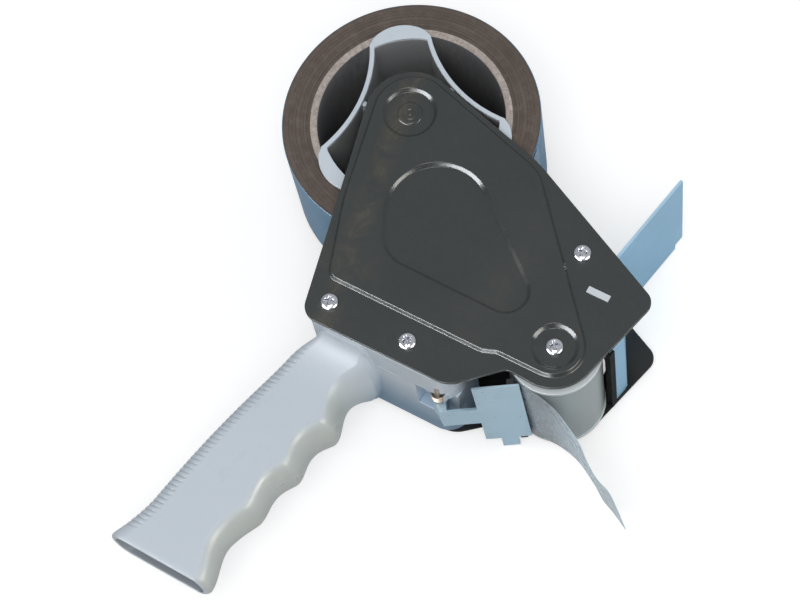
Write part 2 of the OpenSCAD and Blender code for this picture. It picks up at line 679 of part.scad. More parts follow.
// Loose tape: a band along its route, whose width leans as the free end twists
module tape_strip() {
    meet = roller_at + roller_path_r * [cos(meet_angle), sin(meet_angle)];
    peel = roller_at + roller_path_r * [cos(peel_angle), sin(peel_angle)];
    tail_count = len(tail_x_shares);
    route = concat(
        [for (k = [-web_steps:0]) let (a = leave_angle - peel_lag / 2 * k / web_steps) roll_path_r * [cos(a), sin(a)]],
        [leave_at + (meet - leave_at) / 2],
        [for (k = [0:wrap_steps]) let (a = meet_angle + (peel_angle - meet_angle) * k / wrap_steps)
            roller_at + roller_path_r * [cos(a), sin(a)]],
        [for (k = [0:tail_count - 1]) peel + tail_len * [tail_x_shares[k], tail_y_shares[k]]]);
    flat_count = web_steps + wrap_steps + 3;
    lean = concat([for (k = [1:flat_count]) [0, 0]],
        [for (k = [0:tail_count - 1]) [tail_lean_x_shares[k], tail_lean_y_shares[k]]]);
    n = len(route);
    points = [for (i = [0:n - 1])
        let (p = [route[i].x, route[i].y, 0],
             along = route[min(i + 1, n - 1)] - route[max(i - 1, 0)],
             across = unit([lean[i].x, lean[i].y, sqrt(1 - lean[i] * lean[i])]),
             out = unit(cross([along.x, along.y, 0], across)) * film_t / 2)
        each concat([for (k = [0:band_cols]) p + across * tape_z * (1 - 2 * k / band_cols) + out],
                    [for (k = [band_cols:-1:0]) p + across * tape_z * (1 - 2 * k / band_cols) - out])];
    color([0.62, 0.74, 0.84]) lift() polyhedron(points = points, faces = band_faces(n), convexity = 6);
}

// Triangles of the band: both of its sides are split along the same diagonals, so they never cross
function band_faces(rings) =
    let (sides = 2 * band_cols + 2, last = (rings - 1) * sides)
    concat([for (k = [0:band_cols - 1]) each [[k, sides - 2 - k, k + 1], [k, sides - 1 - k, sides - 2 - k]]],
           [for (r = [0:rings - 2]) for (i = [0:sides - 1])
               let (a = r * sides + i, b = r * sides + (i + 1) % sides)
               each i > band_cols ? [[a, b, a + sides], [b, b + sides, a + sides]]
                   : [[a, b, b + sides], [a, b + sides, a + sides]]],
           [for (k = [0:band_cols - 1]) each [[last + k, last + k + 1, last + sides - 2 - k],
               [last + k, last + sides - 2 - k, last + sides - 1 - k]]]);

// Roller: a white core with end rims, and a sleeve between them
module roller_core() {
    color([0.86, 0.88, 0.89]) lift() translate([roller_at.x, roller_at.y, 0]) difference() {
        union() {
            rod(roller_core_r, -sleeve_z, 2 * sleeve_z);
            for (side = [-1, 1]) translate([0, 0, side * (sleeve_z + rim_w / 2) - rim_w / 2]) rod(rim_r, 0, rim_w);
        }
        for (side = [-1, 1]) translate([0, 0, side > 0 ? web_disc_t / 2 : -rim_z - cut])
            ring(roller_core_r - 2 * web_disc_t, axle_r + web_disc_t, 0, rim_z - web_disc_t / 2 + cut);
        rod(roller_bore_r, -rim_z - cut, 2 * (rim_z + cut));
    }
}

module roller_sleeve() {
    color([0.66, 0.7, 0.72]) lift() translate([roller_at.x, roller_at.y, 0])
        ring(sleeve_r, roller_core_r, -sleeve_z, 2 * sleeve_z);
}

// Steel tube that carries the roller and spaces the plates
module roller_axle() {
    color([0.75, 0.76, 0.78]) lift() translate([roller_at.x, roller_at.y, 0])
        ring(axle_r, shank_r + run_gap, -plate_z, inner_gap);
}

module front_spacer() {
    color([0.75, 0.76, 0.78]) lift() translate([spacer_at.x, spacer_at.y, 0])
        ring(axle_r, shank_r + run_gap, -plate_z, inner_gap);
}

// Front plate: a flap over the top edge, bent into a shelf whose tabs sit in the plates' slots
module front_plate() {
    flap_start = [shelf_back_x + flap_t, shelf_y - flap_t / 2];
    flap_end = flap_start + flap_dir * flap_len;
    side = [-flap_dir.y, flap_dir.x] * flap_t;
    corner = flap_t * 3;
    tab_t = slot_h - 2 * tab_fit;
    color([0.6, 0.76, 0.86]) lift() {
        difference() {
            slab([flap_start, flap_end, flap_end + side, flap_start + side], -front_half_w, 2 * front_half_w);
            translate([flap_end.x, flap_end.y, -front_half_w]) rotate(flap_slope) rotate([0, 90, 0])
                translate([0, 0, -flap_t]) rotate(45) cube([corner * 1.4, corner * 1.4, flap_t * 6], center = true);
        }
        difference() {
            translate([flap_start.x - flap_t, shelf_y - flap_t / 2, -front_half_w])
                cube([shelf_front_x - flap_start.x + flap_t, flap_t, 2 * front_half_w]);
            rivet_holes();
        }
        for (side_z = [-1, 1]) translate([slot_at.x, slot_at.y, side_z * (plate_z + sheet_t / 2)])
            cube([slot_l - 2 * tab_fit, tab_t, sheet_t + 2 * plate_fit], center = true);
    }
}

module rivet_holes() {
    for (side = [-1, 1]) translate([rivet_x, shelf_y - slot_h, side * tape_z * 0.7]) rotate([-90, 0, 0])
        cylinder(r = rivet_r, h = 2 * slot_h);
}

// Bent strip under the shelf: a flange, a slope and a leg with a lip that grips the blade
module blade_mount() {
    shelf_under = shelf_y - flap_t / 2;
    back = blade_back * mount_t;
    foot = blade_foot - blade_dir * mount_t + blade_back * blade_t;
    leg_top = foot + blade_dir * mount_leg_h;
    flange_end = mount_flange_x + mount_flange_l;
    lip_front = blade_foot - blade_dir * mount_t - blade_back * mount_t;
    knee = [mount_flange_x, shelf_under - mount_t];
    outline = [lip_front, foot + back, leg_top + back, [knee.x, knee.y], [knee.x, shelf_under],
        [flange_end, shelf_under], [flange_end, shelf_under - mount_t], [knee.x + mount_t * 1.6, knee.y],
        leg_top, blade_foot + blade_back * blade_t, blade_foot, blade_foot + blade_dir * lip_h,
        blade_foot + blade_dir * lip_h - blade_back * mount_t];
    color([0.2, 0.21, 0.22]) lift() difference() {
        slab(outline, -front_half_w + plate_fit, 2 * (front_half_w - plate_fit));
        rivet_holes();
    }
}

// Serrated blade that stands on the mount's lip
module blade() {
    width = 2 * (front_half_w - plate_fit);
    count = floor(width / tooth_pitch);
    start = -count * tooth_pitch / 2;
    root = blade_h - tooth_h;
    teeth = [for (k = [0:count - 1]) each [[start + k * tooth_pitch, root],
                                           [start + (k + 0.5) * tooth_pitch, blade_h]]];
    outline = concat([[-width / 2, 0], [-width / 2, root]], teeth,
                     [[-start, root], [width / 2, root], [width / 2, 0]]);
    color([0.66, 0.8, 0.87]) lift() translate([blade_foot.x, blade_foot.y, 0])
        multmatrix([[0, blade_dir.x, blade_back.x, 0], [0, blade_dir.y, blade_back.y, 0], [1, 0, 0, 0], [0, 0, 0, 1]])
            linear_extrude(blade_t) polygon(outline);
}

module mount_rivets() {
    top = shelf_y + flap_t / 2;
    bottom = shelf_y - flap_t / 2 - mount_t;
    color([0.72, 0.73, 0.75]) lift()
        for (side = [-1, 1]) translate([rivet_x, bottom - rivet_head_h, side * tape_z * 0.7]) rotate([-90, 0, 0]) {
            cylinder(r = rivet_head_r, h = rivet_head_h);
            cylinder(r = rivet_r, h = top - bottom + 2 * rivet_head_h);
            translate([0, 0, top - bottom + rivet_head_h]) cylinder(r = rivet_head_r, h = rivet_head_h);
        }
}

// Place of the retainer plate: its near end lies square to the slope, its far end droops
module on_slope() {
    translate([retainer_tip.x, retainer_tip.y, 0]) rotate(retainer_slope) translate([0, 0, tape_z])
        rotate([-retainer_droop, -retainer_turn, 0]) translate([0, 0, -tape_z]) children();
}

// Retainer plate: sloping plate, tongue, far tab and hinge eye
module retainer_plate() {
    far_z = tape_z - retainer_w;
    color([0.66, 0.8, 0.87]) lift() difference() {
        union() {
            on_slope() {
                translate([-retainer_len, -retainer_t, far_z]) cube([retainer_len, retainer_t, retainer_w]);
                translate([tongue_end_s, -retainer_t, -tongue_w / 2])
                    cube([-retainer_len - tongue_end_s + cut, retainer_t, tongue_w]);
                translate([-retainer_tab_s - retainer_tab_w / 2, -retainer_t, far_z - retainer_tab_out])
                    cube([retainer_tab_w, retainer_t, retainer_tab_out + cut]);
            }
            tongue_riser();
            translate([hinge_at.x, hinge_at.y, 0]) rod(eye_r, -tongue_w / 2, tongue_w);
        }
        translate([hinge_at.x, hinge_at.y, 0]) rod(pin_r + run_gap, -tongue_w, 2 * tongue_w);
    }
}

// Riser from the tongue's end up to the hinge eye
module tongue_riser() {
    low = retainer_tip + slope_dir * (tongue_end_s + tape_z * sin(retainer_turn)) - slope_up * tongue_drop;
    slab([low - slope_up * retainer_t, low - slope_up * retainer_t + slope_dir * eye_r,
          [hinge_at.x + eye_r * 0.9, hinge_at.y], [hinge_at.x - eye_r * 0.5, hinge_at.y - eye_r * 0.7]],
         -tongue_w / 2, tongue_w);
}

// Rubber bar behind the plate's front edge, which keeps the tape from rolling back
module retainer_pad() {
    setback = pad_bar_w * 0.6;
    overhang = pad_bar_w * 1.2;
    color([0.08, 0.08, 0.09]) lift() on_slope()
        translate([-setback - pad_bar_w, 0, tape_z - retainer_w - overhang])
            cube([pad_bar_w, pad_bar_t, retainer_w + overhang]);
}

module retainer_pin() {
    low = -tongue_w + cut;
    high = slot_half_w + torsion_room + tongue_w / 2 - cut;
    color([0.75, 0.76, 0.78]) lift() translate([hinge_at.x, hinge_at.y, 0]) rod(pin_r, low, high - low);
}

// Torsion spring round the pin, beside the eye
module retainer_spring() {
    path = helix(torsion_coil_r, slot_half_w + torsion_wire_d / 2, torsion_pitch, torsion_turns, torsion_wire_d,
                 torsion_start_angle);
    echo(retainer_spring_least_gap = coil_clearance(path, torsion_wire_d));
    color([0.78, 0.79, 0.8]) lift() translate([hinge_at.x, hinge_at.y, 0])
        tube(path, torsion_wire_d / 2, wire_sides);
}

// Pan-head screw with a cross recess, standing on z = 0
module screw() {
    crown = head_h * 0.45;
    slot_w = head_r * 0.24;
    slot_len = head_r * 1.1;
    difference() {
        rotate_extrude() polygon([[0, 0], [head_r, 0], [head_r, head_h - crown], [head_r * 0.82, head_h - crown * 0.3],
            [head_r * 0.5, head_h], [0, head_h]]);
        for (a = [0, 90]) rotate(a) translate([0, 0, head_h])
            cube([slot_len, slot_w, head_h], center = true);
    }
    translate([0, 0, -shank_len]) cylinder(r = shank_r, h = shank_len);
}

module screw_set() {
    spots = concat(places(handle_screw_shares), [spacer_at, roller_at]);
    turns = [20, 55, 10, 40];
    for (i = [0:len(spots) - 1]) translate([spots[i].x, spots[i].y, plate_z + sheet_t]) rotate(turns[i]) screw();
}

module near_screws() {
    color([0.8, 0.81, 0.83]) lift() screw_set();
}

module far_screws() {
    color([0.8, 0.81, 0.83]) lift() mirror([0, 0, 1]) screw_set();
}

near_side_plate();
far_side_plate();
handle();
hub_axle();
hub_washer();
hub_spool();
spool_rim();
hub_end_disc();
brake_pad();
brake_washer();
brake_spring();
brake_knob();
tape_core();
tape_roll();
tape_strip();
roller_core();
roller_sleeve();
roller_axle();
front_spacer();
front_plate();
blade_mount();
blade();
mount_rivets();
retainer_plate();
retainer_pad();
retainer_pin();
retainer_spring();
near_screws();
far_screws();
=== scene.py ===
"""Packing tape dispenser: detailed pieces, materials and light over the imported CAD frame.

Sizes are in millimetres, in the frame of the part: the hub axis is Z, the roll's mid-plane is
MID_Z above the floor, and Shape.piece() lifts and scales everything into metres.
"""

import random
from math import acos, asin, atan2, ceil, cos, degrees, floor, hypot, pi, radians, sin, sqrt, tan, tau

import bpy
import numpy as np
from mathutils import Matrix, Vector
from mathutils.geometry import delaunay_2d_cdt


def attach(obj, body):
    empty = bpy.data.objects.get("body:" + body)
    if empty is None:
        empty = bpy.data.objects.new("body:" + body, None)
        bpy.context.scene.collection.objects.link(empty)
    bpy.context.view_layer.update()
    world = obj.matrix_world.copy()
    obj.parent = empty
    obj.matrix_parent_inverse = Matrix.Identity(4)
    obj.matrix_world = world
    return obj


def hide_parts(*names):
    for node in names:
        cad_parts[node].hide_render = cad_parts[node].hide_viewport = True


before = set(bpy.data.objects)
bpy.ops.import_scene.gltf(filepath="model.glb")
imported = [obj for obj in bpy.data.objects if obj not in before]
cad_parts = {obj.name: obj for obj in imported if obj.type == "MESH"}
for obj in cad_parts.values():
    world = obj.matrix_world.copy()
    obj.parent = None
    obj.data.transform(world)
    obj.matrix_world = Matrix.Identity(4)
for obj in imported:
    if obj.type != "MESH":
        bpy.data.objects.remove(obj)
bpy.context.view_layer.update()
random.seed(7)

MM = 0.001
UP = Vector((0, 0, 1))

# Sizes shared with the part

REACH, DROP = 124.6, 95.2
TAPE_W, ROLL_D, CORE_BORE_D, CORE_WALL = 50.0, 104.8, 76.2, 2.9
SHEET_T, EMBOSS_H, INNER_GAP = 1.2, 1.5, 56.6
CROWN_R, LOADING_R = 19.6, 60.0
HEAD_R, HEAD_H, SHANK_R, SHANK_LEN = 3.6, 2.4, 1.95, 12.0
AXLE_R, FACE_GAP, SEAM = 4.0, 0.3, 0.02
PIN_R, EYE_R, SLOT_HALF, COIL_ROOM = 1.5, 2.8, 6.8, 5.62
PLATE_Z = INNER_GAP / 2
RIM_TOP = PLATE_Z + SHEET_T
MID_Z = RIM_TOP + HEAD_H
TAPE_Z = TAPE_W / 2
BORE_R = AXLE_R + 0.05
CORE_R, ROLL_R = CORE_BORE_D / 2, ROLL_D / 2


def at(share):
    """A place in the part, from its shares of the reach and the drop."""
    return Vector((share[0] * REACH, share[1] * DROP))


def places(*shares):
    return [at(share) for share in shares]


ROLLER_AT, SPACER_AT, SLOT_AT, HINGE_AT = places((0.7945, -0.6534), (0.7231, -0.2405), (0.8307, -0.3676),
                                                 (0.5104, -0.9832))
SLOT_L, SLOT_H = 9.8, 3.2
SCREW_SPOTS = places((0.1003, -0.9), (0.382, -0.905)) + [SPACER_AT, ROLLER_AT]

# Outlines

ARC_STEP, FINE_STEP, LEAST_FILLET = 6.0, 5.0, 0.4


def ray(r, a):
    return r * Vector((cos(a), sin(a)))


def spot(centre, r, a):
    """The x and y of a place on a circle, in full precision."""
    return centre[0] + r * cos(a), centre[1] + r * sin(a)


def left(v):
    return Vector((-v.y, v.x))


def corners(points):
    """Each point between its neighbours."""
    n = len(points)
    return [(points[i - 1], points[i], points[(i + 1) % n]) for i in range(n)]


def turned(points, a):
    c, s = cos(a), sin(a)
    return [Vector((p[0] * c - p[1] * s, p[0] * s + p[1] * c)) for p in points]


def circle(centre, r, steps):
    return [Vector(spot(centre, r, tau * k / steps)) for k in range(steps)]


def corner_arc(a, p, b, r):
    """Points of a fillet of radius r at corner p, between its neighbours a and b."""
    u, v = (a - p).normalized(), (b - p).normalized()
    half = acos(max(-1.0, min(1.0, u.dot(v)))) / 2
    centre = p + (u + v).normalized() * r / sin(half)
    start = p + u * r / tan(half) - centre
    finish = p + v * r / tan(half) - centre
    first = atan2(start.y, start.x)
    sweep = (atan2(finish.y, finish.x) - first + 3 * pi) % tau - pi
    steps = max(3, ceil(abs(degrees(sweep)) / ARC_STEP))
    return [centre + ray(r, first + sweep * k / steps) for k in range(steps + 1)]


def filleted(points, radii):
    out = []
    for (a, p, b), r in zip(corners(points), radii):
        out += corner_arc(a, p, b, r) if r > 0 else [Vector(p)]
    return out


def inset(points, d):
    """A counter-clockwise polygon moved inwards by d."""
    out = []
    for a, p, b in corners(points):
        ne, nf = left((p - a).normalized()), left((b - p).normalized())
        out.append(p + (ne + nf) * d / (1 + ne.dot(nf)))
    return out


def inset_radii(points, radii, d):
    """The fillets that go with inset(): smaller by d on corners that stick out, larger in the others."""
    out = []
    for (a, p, b), r in zip(corners(points), radii):
        sticks_out = left(p - a).dot(b - p) > 0
        out.append(max(LEAST_FILLET, r - (d if sticks_out else -d)) if r else 0)
    return out


def belt(centres, radii):
    """Outline of a belt round circles that are listed counter-clockwise."""
    n = len(centres)
    normals = []
    for i in range(n):
        d = centres[(i + 1) % n] - centres[i]
        normals.append(atan2(d.y, d.x) - acos((radii[i] - radii[(i + 1) % n]) / d.length))
    out = []
    for i in range(n):
        first = normals[i - 1]
        span = (normals[i] - first) % tau
        steps = max(3, ceil(degrees(span) / FINE_STEP))
        out += [centres[i] + ray(radii[i], first + span * k / steps) for k in range(steps + 1)]
    return out


def bite(points, centre, r, step=FINE_STEP):
    """The outline without what lies in a circle, which it follows there."""
    centre = Vector(centre)
    n = len(points)
    gone = [(p - centre).length < r for p in points]
    first = next(i for i in range(n) if not gone[i] and gone[(i + 1) % n])

    def crossing(a, b):
        d, f = b - a, a - centre
        two_square, linear, rest = 2 * d.dot(d), 2 * f.dot(d), f.dot(f) - r * r
        root = sqrt(max(0.0, linear * linear - 2 * two_square * rest))
        shares = ((-linear - root) / two_square, (-linear + root) / two_square)
        return a + d * next(t for t in shares if -1e-9 <= t <= 1 + 1e-9)

    out, entry = [], None
    for k in range(n):
        i, j = (first + k) % n, (first + k + 1) % n
        if gone[j]:
            if not gone[i]:
                entry = crossing(points[i], points[j])
            continue
        if gone[i]:
            leave = crossing(points[j], points[i])
            a0, a1 = (atan2(p.y - centre.y, p.x - centre.x) for p in (entry, leave))
            span = (a1 - a0) % tau - tau
            steps = max(2, ceil(abs(degrees(span)) / step))
            out += [centre + ray(r, a0 + span * s / steps) for s in range(steps + 1)]
        out.append(points[j])
    return out


def shrink(points, d):
    """A dense counter-clockwise outline moved inwards by a small d, along the mean of its edge normals."""
    out = []
    for a, p, b in corners(points):
        m = left((p - a).normalized() + (b - p).normalized()).normalized()
        out.append(p + m * d / max(0.5, m.dot(left(p - a).normalized())))
    return out


def inside(xy, loop):
    """Even-odd test of an array of points against a closed loop."""
    poly = np.array([tuple(p) for p in loop])
    x, y = xy[:, 0][:, None], xy[:, 1][:, None]
    x0, y0 = poly[:, 0][None, :], poly[:, 1][None, :]
    x1, y1 = np.roll(poly[:, 0], -1)[None, :], np.roll(poly[:, 1], -1)[None, :]
    spans = (y0 > y) != (y1 > y)
    with np.errstate(divide="ignore", invalid="ignore"):
        cross = x < (x1 - x0) * (y - y0) / (y1 - y0) + x0
    return (np.sum(spans & cross, axis=1) % 2) == 1


def triangulate(loops, outer, holes):
    """Triangles between nested loops, inside outer and outside every hole. Indices run through the loops."""
    points, edges = [], []
    for loop in loops:
        base = len(points)
        points += [Vector((p[0], p[1])) for p in loop]
        edges += [(base + i, base + (i + 1) % len(loop)) for i in range(len(loop))]
    _, _, faces, origin, _, _ = delaunay_2d_cdt(points, edges, [], 0, 1e-7)
    back = [o[0] if o else None for o in origin]
    tris = np.array([[back[i] for i in f] for f in faces if all(back[i] is not None for i in f)])
    flat = np.array([tuple(p) for p in points])
    mid = flat[tris].mean(axis=1)
    keep = inside(mid, outer)
    for hole in holes:
        keep &= ~inside(mid, hole)
    out = []
    for t in tris[keep]:
        a, b, c = flat[t[0]], flat[t[1]], flat[t[2]]
        area = (b[0] - a[0]) * (c[1] - a[1]) - (b[1] - a[1]) * (c[0] - a[0])
        out.append(tuple(int(v) for v in (t if area > 0 else t[::-1])))
    return out


# Meshes

ROUND_BENDS = ((1.0, 0.0), (0.5, 0.13), (0.13, 0.5), (0.0, 1.0))
ROUND_STEPS, ROUND_SHARE, WIRE_SIDES = 3, 0.45, 12


class Shape:
    """Vertices and faces of one piece, in millimetres about the roll's mid-plane."""

    def __init__(self):
        self.verts, self.faces, self.looks = [], [], []

    def add(self, verts, faces, look=0):
        base = len(self.verts)
        self.verts += [tuple(v) for v in verts]
        self.faces += [[base + i for i in f] for f in faces]
        self.looks += [look] * len(faces)
        return self

    def flip(self):
        """The mirror image in the mid-plane."""
        self.verts = [(x, y, -z) for x, y, z in self.verts]
        self.faces = [f[::-1] for f in self.faces]
        return self

    def piece(self, name, body, looks, nodes=(), slot=None, sharp=32.0):
        mesh = bpy.data.meshes.new(name)
        mesh.from_pydata([(x * MM, y * MM, (z + MID_Z) * MM) for x, y, z in self.verts], [], self.faces)
        for look in looks:
            mesh.materials.append(look)
        mesh.polygons.foreach_set("material_index", self.looks)
        mesh.validate()
        mesh.shade_smooth()
        mesh.set_sharp_from_angle(angle=radians(sharp))
        obj = bpy.data.objects.new(name, mesh)
        bpy.context.scene.collection.objects.link(obj)
        obj.modifiers.new("weights", "WEIGHTED_NORMAL").keep_sharp = True
        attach(obj, body)
        if nodes:
            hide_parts(*nodes)


def stitch(a, b, count):
    """Quads between two closed rows of equal length that start at vertices a and b."""
    return [(a + i, a + (i + 1) % count, b + (i + 1) % count, b + i) for i in range(count)]


def loft(rows, sides):
    """Faces of a stack of closed rows, with a cap on either end."""
    faces = [quad for k in range(rows - 1) for quad in stitch(k * sides, (k + 1) * sides, sides)]
    return faces + [tuple(range(sides))[::-1], tuple((rows - 1) * sides + i for i in range(sides))]


def prism(shape, outline, z0, z1, edge=0.3, holes=(), hole_edge=0.2):
    """Extruded outline with rounded edges and straight holes."""
    verts, faces, tops, bottoms = [], [], [], []
    for loop, e, sign in [(outline, edge, 1)] + [(hole, hole_edge, -1) for hole in holes]:
        rows = [(shrink(loop, sign * e * out), z0 + e * up) for out, up in ROUND_BENDS]
        rows += [(shrink(loop, sign * e * out), z1 - e * up) for out, up in ROUND_BENDS[::-1]]
        n, base = len(loop), len(verts)
        for points, z in rows:
            verts += [(p[0], p[1], z) for p in points]
        for k in range(len(rows) - 1):
            quads = stitch(base + k * n, base + (k + 1) * n, n)
            faces += quads if sign > 0 else [q[::-1] for q in quads]
        bottoms.append((base, rows[0][0]))
        tops.append((base + (len(rows) - 1) * n, rows[-1][0]))
    for rings, way in ((tops, 1), (bottoms, -1)):
        loops = [points for _, points in rings]
        index = [start + i for start, points in rings for i in range(len(points))]
        faces += [tuple(index[i] for i in t)[::way] for t in triangulate(loops, loops[0], loops[1:])]
    return shape.add(verts, faces)


def mirrored(half):
    """A turned profile from its upper half, which is listed from the bore outwards."""
    return [(r, -z) for r, z in half] + half[::-1]


def lathe(shape, profile, centre=(0, 0), steps=64, look=0, closed=False):
    """Turned profile of (radius, z) points, listed upwards along the outside."""
    verts, faces = [], []
    for r, z in profile:
        verts += [(*spot(centre, r, tau * k / steps), z) for k in range(steps)]
    rows = len(profile)
    for k in range(rows if closed else rows - 1):
        faces += stitch(k * steps, ((k + 1) % rows) * steps, steps)
    return shape.add(verts, faces, look)


def rounded(profile, r):
    """A closed (radius, z) profile with its corners rounded by r."""
    out = []
    for a, p, b in corners([Vector(p) for p in profile]):
        reach = min(r, (a - p).length * ROUND_SHARE, (b - p).length * ROUND_SHARE)
        s, e = p + (a - p).normalized() * reach, p + (b - p).normalized() * reach
        for k in range(ROUND_STEPS + 1):
            t = k / ROUND_STEPS
            out.append(tuple(s * (1 - t) ** 2 + p * 2 * t * (1 - t) + e * t ** 2))
    return out


def tube(shape, path, r):
    """Round wire along a path, with closed ends."""
    verts, last = [], len(path) - 1
    for i, p in enumerate(path):
        t = (path[min(i + 1, last)] - path[max(i - 1, 0)]).normalized()
        side = UP.cross(t).normalized()
        up = t.cross(side)
        for k in range(WIRE_SIDES):
            a = tau * k / WIRE_SIDES
            verts.append(p + r * (side * cos(a) + up * sin(a)))
    return shape.add(verts, loft(len(path), WIRE_SIDES))


def helix(centre, r, z, pitch, turns, wire, start=0.0, per_turn=32):
    """Path of a spring whose ends run on straight for one wire diameter."""
    coil = [Vector((*spot(centre, r, start + tau * k / per_turn), z + pitch * k / per_turn))
            for k in range(turns * per_turn + 1)]
    first, last = coil[0] - coil[1], coil[-1] - coil[-2]
    first.z = last.z = 0
    return [coil[0] + first.normalized() * wire] + coil + [coil[-1] + last.normalized() * wire]


# Materials


def scaled(colour, k):
    return tuple(c * k for c in colour)


def add_node(tree, kind, inputs, **settings):
    """A new shader node with its settings. Its inputs go by name or number: a socket is linked, a value set."""
    node = tree.nodes.new("ShaderNode" + kind)
    for key, value in settings.items():
        setattr(node, key, value)
    for key, value in inputs.items():
        if isinstance(value, bpy.types.NodeSocket):
            tree.links.new(value, node.inputs[key])
        else:
            node.inputs[key].default_value = value
    return node


class Look:
    """A procedural material: noise fields in object space drive its colour, roughness and bump."""

    def __init__(self, name, colour, rough, metallic=0.0, **shader):
        self.mat = bpy.data.materials.new(name)
        self.mat.use_nodes = True
        self.tree = self.mat.node_tree
        self.shader = self.tree.nodes["Principled BSDF"]
        for key, value in dict(shader, base_color=(*colour, 1.0), roughness=rough, metallic=metallic).items():
            self.shader.inputs[key.replace("_", " ").title().replace("Ior", "IOR")].default_value = value
        self.coords = self.node("TexCoord").outputs["Object"]
        self.height = None

    def link(self, field, socket):
        self.tree.links.new(field, self.shader.inputs[socket])

    def node(self, kind, inputs=None, **settings):
        return add_node(self.tree, kind, inputs or {}, **settings)

    def mapped(self, stretch=(1, 1, 1), turn=(0, 0, 0)):
        return self.node("Mapping", {"Vector": self.coords, "Rotation": turn, "Scale": stretch}).outputs["Vector"]

    def noise(self, scale, detail=4.0, rough=0.55, vector=None, distortion=0.0):
        return self.node("TexNoise", {"Vector": vector or self.coords, "Scale": scale, "Detail": detail,
                                      "Roughness": rough, "Distortion": distortion}).outputs["Fac"]

    def cells(self, scale):
        return self.node("TexVoronoi", {"Vector": self.coords, "Scale": scale}).outputs["Distance"]

    def value(self, field, low, high, to_low=0.0, to_high=1.0):
        """A field mapped from [low, high] to [to_low, to_high], clamped."""
        return self.node("MapRange", {"Value": field, "From Min": low, "From Max": high, "To Min": to_low,
                                      "To Max": to_high}).outputs["Result"]

    def math(self, operation, *values):
        return self.node("Math", dict(enumerate(values)), operation=operation).outputs["Value"]

    def plus(self, a, b):
        return self.math("ADD", a, b)

    def times(self, a, b):
        return self.math("MULTIPLY", a, b)

    def xyz(self, vector=None):
        return tuple(self.node("SeparateXYZ", {"Vector": vector or self.coords}).outputs)

    def radius(self):
        """Distance from the hub's axis, in metres."""
        x, y, _ = self.xyz()
        return self.math("SQRT", self.plus(self.times(x, x), self.times(y, y)))

    def mix(self, share, a, b):
        a, b = ((*v, 1.0) if isinstance(v, tuple) else v for v in (a, b))
        return self.node("Mix", {0: share, 6: a, 7: b}, data_type="RGBA").outputs[2]

    def layer(self, tint, colour, field, low, high, amount=1.0):
        """A tint under a colour that comes in, up to an amount, as the field goes from low to high."""
        return self.mix(self.value(field, low, high, 0.0, amount), tint, colour)

    def edge_wear(self, radius_mm):
        """1 on edges that stick out, 0 on flats and in corners."""
        soft = self.node("Bevel", {"Radius": radius_mm * MM}, samples=6).outputs["Normal"]
        hard = self.node("NewGeometry").outputs["Normal"]
        dot = self.node("VectorMath", {0: soft, 1: hard}, operation="DOT_PRODUCT").outputs["Value"]
        return self.value(dot, 0.995, 0.9)

    def bump(self, height, strength, distance_mm):
        inputs = {"Strength": strength, "Distance": distance_mm * MM, "Height": height}
        if self.height:
            inputs["Normal"] = self.height
        self.height = self.node("Bump", inputs).outputs["Normal"]
        self.link(self.height, "Normal")


def dark_paint(name, base, warm, rough=0.2, band=None, patch=0.4, specular=0.4):
    """Satin black stoving paint on steel: orange peel, faint haze and warm brown patches, most along a band (point,
    direction, half width)."""
    look = Look(name, base, rough, specular_ior_level=specular)
    blotch, drift, fine = look.noise(95, 6, 0.66, distortion=0.8), look.noise(26, 3, 0.5), look.noise(420, 3, 0.6)
    warm_patch = look.times(look.value(blotch, 0.46, 0.66), look.value(drift, 0.5, 0.68, 0.0, patch))
    if band:
        point, along, half = band
        along = along.normalized()
        x, y, _ = look.xyz()
        across = look.plus(look.times(x, along.y), look.times(y, -along.x))
        away = look.math("ABSOLUTE", look.plus(across, -(point.x * along.y - point.y * along.x) * MM))
        near = look.value(away, 0.2 * half * MM, half * MM, 1.0, 0.0)
        warm_patch = look.plus(warm_patch, look.times(near, look.value(blotch, 0.4, 0.64)))
    tint = look.mix(look.times(warm_patch, 0.6), base, warm)
    tint = look.layer(tint, scaled(base, 1.3), drift, 0.35, 0.65, 0.45)
    tint = look.layer(tint, scaled(base, 1.5), fine, 0.35, 0.8, 0.2)
    worn = look.times(look.edge_wear(0.35), look.value(fine, 0.45, 0.6, 0.0, 0.35))
    look.link(look.mix(worn, tint, (0.15, 0.155, 0.16)), "Base Color")
    look.link(look.plus(look.value(blotch, 0.35, 0.7, rough - 0.03, rough + 0.05), look.times(warm_patch, 0.1)), "Roughness")
    look.bump(look.noise(900, 2, 0.5), 0.06, 0.04)
    look.bump(look.noise(30, 2, 0.4), 0.06, 0.5)
    return look.mat


